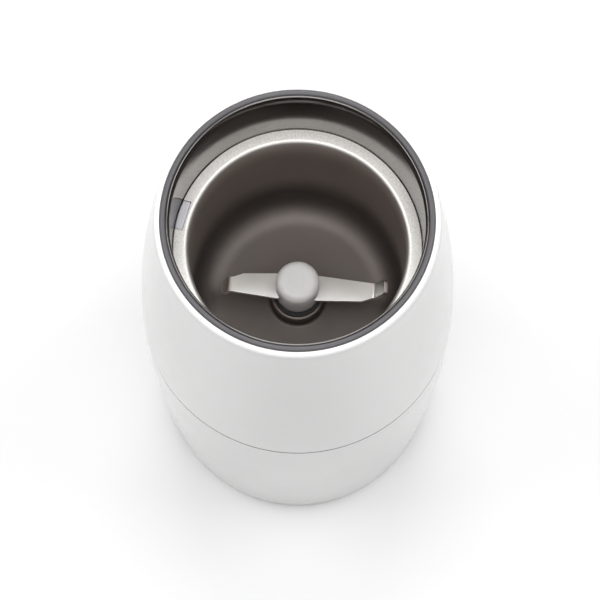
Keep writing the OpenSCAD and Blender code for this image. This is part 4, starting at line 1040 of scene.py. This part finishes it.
class GRINDER_OT_cover(bpy.types.Operator):
    """Adds the bottom cover with its vents, ribs, foot cups and screw recesses"""
    bl_idname = "grinder.cover"
    bl_label = "Bottom cover"

    def execute(self, context):
        base, shells = context.scene.grinder_base, context.scene.grinder_shells
        radius = shells.base_r - shells.wall - 0.2 * MM
        top = BASE_Z + base.cover_t
        groove, groove_z = base.vent_r + base.vent_l / 2 + 2 * MM, BASE_Z + 0.5 * MM
        corners = [
            (0, BASE_Z), (groove - 0.8 * MM, BASE_Z, 0.15 * MM), (groove - 0.7 * MM, groove_z),
            (groove - 0.1 * MM, groove_z), (groove, BASE_Z, 0.15 * MM),
            (radius, BASE_Z, 0.5 * MM), (radius, top, 0.3 * MM),
            (groove + 1.4 * MM, top), (groove + 1.3 * MM, top + 2 * MM, 0.3 * MM),
            (groove + 0.1 * MM, top + 2 * MM, 0.3 * MM), (groove, top), (0, top),
        ]
        piece = to_object(lathe(corners, COVER_STEPS), "Bottom_cover")
        below, above = BASE_Z - MM, top + MM
        round_r = base.vent_w / 2
        half = base.vent_l / 2 - round_r
        ends = [
            (side * half + round_r * cos(angle), round_r * sin(angle))
            for side, start in ((1, -90), (-1, 90))
            for angle in [radians(start + 18 * i) for i in range(11)]
        ]
        vents = [
            set_out(prism(ends, below, above), base.vent_r, angle)
            for angle in around(base.vents, pi / base.vents)
        ]
        cups, wells = [], []
        for angle in FOOT_TURNS:
            cup = rod(base.foot_r + MM, top - 0.3 * MM, above, FOOT_STEPS)
            well = rod(base.foot_r + 0.1 * MM, below, BASE_Z + 1.6 * MM, FOOT_STEPS)
            cups.append(set_out(cup, base.foot_ring_r, angle))
            wells.append(set_out(well, base.foot_ring_r, angle))
        for angle in SCREW_TURNS:
            recess = rod(base.head_r + 0.2 * MM, below, BASE_Z + 1.3 * MM, FOOT_STEPS)
            hole = rod(CLEAR_R, below, above, HOLE_STEPS)
            wells += [set_out(bm, base.screw_ring_r, angle) for bm in (recess, hole)]
        combine(piece, cups, [joined(vents), *wells])
        settle(piece, "housing", "base_plate", "bottom_cover", "cover")
        return {"FINISHED"}


class GRINDER_OT_feet(bpy.types.Operator):
    """Adds the four rubber feet"""
    bl_idname = "grinder.feet"
    bl_label = "Rubber feet"

    def execute(self, context):
        base = context.scene.grinder_base
        top, dimple = high("rubber_feet").z, 0.3 * MM
        corners = [
            (0, dimple), (1.6 * MM, dimple), (2.0 * MM, 0, 0.2 * MM),
            (base.foot_r, 0, 0.6 * MM), (base.foot_r, top), (0, top),
        ]
        feet = [set_out(lathe(corners, FOOT_STEPS), base.foot_ring_r, a) for a in FOOT_TURNS]
        piece = to_object(joined(feet), "Rubber_feet")
        settle(piece, "housing", "soft_rubber", "rubber_feet", "rubber")
        return {"FINISHED"}


class GRINDER_OT_gland(bpy.types.Operator):
    """Adds the rubber gland of the mains lead, at the back"""
    bl_idname = "grinder.gland"
    bl_label = "Cord gland"

    def execute(self, context):
        base = context.scene.grinder_base
        inner_end, outer_end = low("cord_gland").y, high("cord_gland").y
        seat = outer_end - FLANGE_T
        bore, tube_r = base.gland_bore_r, base.gland_bore_r + base.gland_t
        flange = base.gland_flange_r
        barb = seat - 3.2 * MM
        corners = [
            (bore, inner_end), (tube_r, inner_end, 0.4 * MM), (tube_r, barb - 3 * MM),
            (tube_r + 0.95 * MM, barb, 0.2 * MM), (tube_r, barb), (tube_r, seat),
            (flange, seat, 0.2 * MM), (flange, outer_end - 0.5 * MM, 0.3 * MM),
            (flange - 0.9 * MM, outer_end, 0.4 * MM), (bore + 1.2 * MM, outer_end, 0.2 * MM),
            (bore + 1.0 * MM, outer_end - 0.3 * MM), (bore, outer_end - 0.3 * MM, 0.25 * MM),
        ]
        piece = to_object(at_inlet(lathe(corners, SMALL_STEPS)), "Cord_gland")
        settle(piece, "housing", "soft_rubber", "cord_gland", "rubber")
        return {"FINISHED"}


# --- inside

# The CAD nodes that keep their shape, under the finish that each one gets
INSIDE = {
    "black": ("bowl_cradle", "microswitch_body", "cooling_fan"),
    "guide": ("plunger_guide",),
    "wire": ("plunger_clip", "plunger_spring", "brush_springs"),
    "zinc": (
        "switch_bracket", "switch_lever", "switch_screws", "bracket_screws", "motor_screws",
        "motor_nuts", "mount_screws", "cradle_screws", "housing_screws", "cover_screws",
    ),
    "red": ("switch_button",),
    "brass": ("switch_terminals", "hub_insert", "brush_caps"),
    "ground": ("drive_shaft",),
    "bronze": ("upper_bush", "lower_bush"),
    "cast": ("upper_bracket", "lower_bracket"),
    "sheets": ("stator_core", "armature_core"),
    "coil": ("field_coils", "armature_windings"),
    "bars": ("commutator",),
    "phenolic": ("brush_holders",),
    "carbon": ("carbon_brushes",),
    "rubber": ("rubber_mounts",),
}


class GRINDER_OT_inside(bpy.types.Operator):
    """Gives each CAD piece inside the shells its own finish"""
    bl_idname = "grinder.inside"
    bl_label = "Inner pieces"

    def execute(self, context):
        for key, nodes in INSIDE.items():
            for node in nodes:
                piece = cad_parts[node]
                if not piece.material_slots:
                    piece.data.materials.append(None)
                for place in piece.material_slots:
                    place.material = finish_of(key)
        return {"FINISHED"}


# --- stage

def area_lamp(name, place, size, power):
    """A square lamp that looks at the grinder."""
    lamp = bpy.data.objects.new(name, bpy.data.lights.new(name, "AREA"))
    lamp.data.energy = power
    lamp.data.size = size
    lamp.location = place
    lamp.rotation_euler = (LAMP_AIM - Vector(place)).to_track_quat("-Z", "Y").to_euler()
    bpy.context.scene.collection.objects.link(lamp)


def floor_material(glow_strength):
    """A pale floor that keeps the shadow. What the camera or a mirror sees of it glows a little."""
    material = bpy.data.materials.new("Pale floor")
    nodes = Nodes(material)
    path = nodes.add("ShaderNodeLightPath").outputs
    seen = path["Is Camera Ray"]
    for ray in ("Is Glossy Ray", "Is Transmission Ray"):
        seen = nodes.math("MAXIMUM", seen, path[ray])
    diffuse = nodes.add("ShaderNodeBsdfDiffuse", nodes.ramp(seen, 0.36, 0.8))
    glow = nodes.add("ShaderNodeEmission", WHITE, nodes.math("MULTIPLY", seen, glow_strength))
    both = nodes.add("ShaderNodeAddShader", diffuse.outputs[0], glow.outputs[0])
    nodes.add("ShaderNodeOutputMaterial", both.outputs[0])
    return material


class GRINDER_OT_stage(bpy.types.Operator):
    """Adds the camera, the pale floor, the world and the lamps"""
    bl_idname = "grinder.stage"
    bl_label = "Stage"

    def execute(self, context):
        scene = context.scene
        stage = scene.grinder_stage
        camera = bpy.data.objects.new("Camera", bpy.data.cameras.new("Camera"))
        camera.location = stage.camera
        camera.rotation_euler = (stage.tilt, 0, 0)
        camera.data.lens = stage.lens
        camera.data.sensor_width = 36
        camera.data.clip_start = 0.01
        scene.collection.objects.link(camera)
        scene.camera = camera

        world = bpy.data.worlds.new("Studio")
        nodes = Nodes(world)
        sky = nodes.add("ShaderNodeBackground", WHITE, stage.sky)
        nodes.add("ShaderNodeOutputWorld", sky.outputs[0])
        scene.world = world

        bm = bmesh.new()
        bmesh.ops.create_grid(bm, x_segments=1, y_segments=1, size=3)
        floor = to_object(bm, "Floor")
        floor.data.materials.append(floor_material(stage.glow))

        area_lamp("Left", (-0.86, 0.1, 1.33), 0.7, stage.side)
        area_lamp("Right", (0.86, 0.1, 1.33), 0.7, stage.side)
        area_lamp("Back", (0, 1.0, 1.1), 0.8, stage.back)
        area_lamp("Front", (0, -0.5, 1.5), 0.9, stage.front)
        scene.view_settings.view_transform = "Standard"
        return {"FINISHED"}


# --- add-on

OPERATORS = (
    GRINDER_OT_upper_shell, GRINDER_OT_lower_shell, GRINDER_OT_rim_ring, GRINDER_OT_collar,
    GRINDER_OT_bowl, GRINDER_OT_interlock, GRINDER_OT_blade, GRINDER_OT_hub, GRINDER_OT_seal,
    GRINDER_OT_cover, GRINDER_OT_feet, GRINDER_OT_gland, GRINDER_OT_inside, GRINDER_OT_stage,
)


class GRINDER_PT_panel(bpy.types.Panel):
    """Lists the grinder's sizes, finishes and pieces"""
    bl_idname = "GRINDER_PT_panel"
    bl_label = "Spice grinder"
    bl_space_type = "VIEW_3D"
    bl_region_type = "UI"
    bl_category = "Grinder"

    def draw(self, context):
        column = self.layout.column()
        for key, group in SETTINGS.items():
            block = column.box()
            block.label(text=key.replace("grinder_", "").capitalize())
            for field in group.__annotations__:
                block.prop(getattr(context.scene, key), field)
        for operator in OPERATORS:
            column.operator(operator.bl_idname)


CLASSES = (*SETTINGS.values(), *OPERATORS, GRINDER_PT_panel)


def register():
    for item in CLASSES:
        bpy.utils.register_class(item)
    for key, group in SETTINGS.items():
        setattr(bpy.types.Scene, key, bpy.props.PointerProperty(type=group))


def unregister():
    for key in SETTINGS:
        delattr(bpy.types.Scene, key)
    for item in reversed(CLASSES):
        bpy.utils.unregister_class(item)


def main():
    register()
    bpy.ops.grinder.upper_shell()
    bpy.ops.grinder.lower_shell()
    bpy.ops.grinder.rim_ring()
    bpy.ops.grinder.collar()
    bpy.ops.grinder.bowl()
    bpy.ops.grinder.interlock()
    bpy.ops.grinder.blade()
    bpy.ops.grinder.hub()
    bpy.ops.grinder.seal()
    bpy.ops.grinder.cover()
    bpy.ops.grinder.feet()
    bpy.ops.grinder.gland()
    bpy.ops.grinder.inside()
    bpy.ops.grinder.stage()


if __name__ == "__main__":
    main()
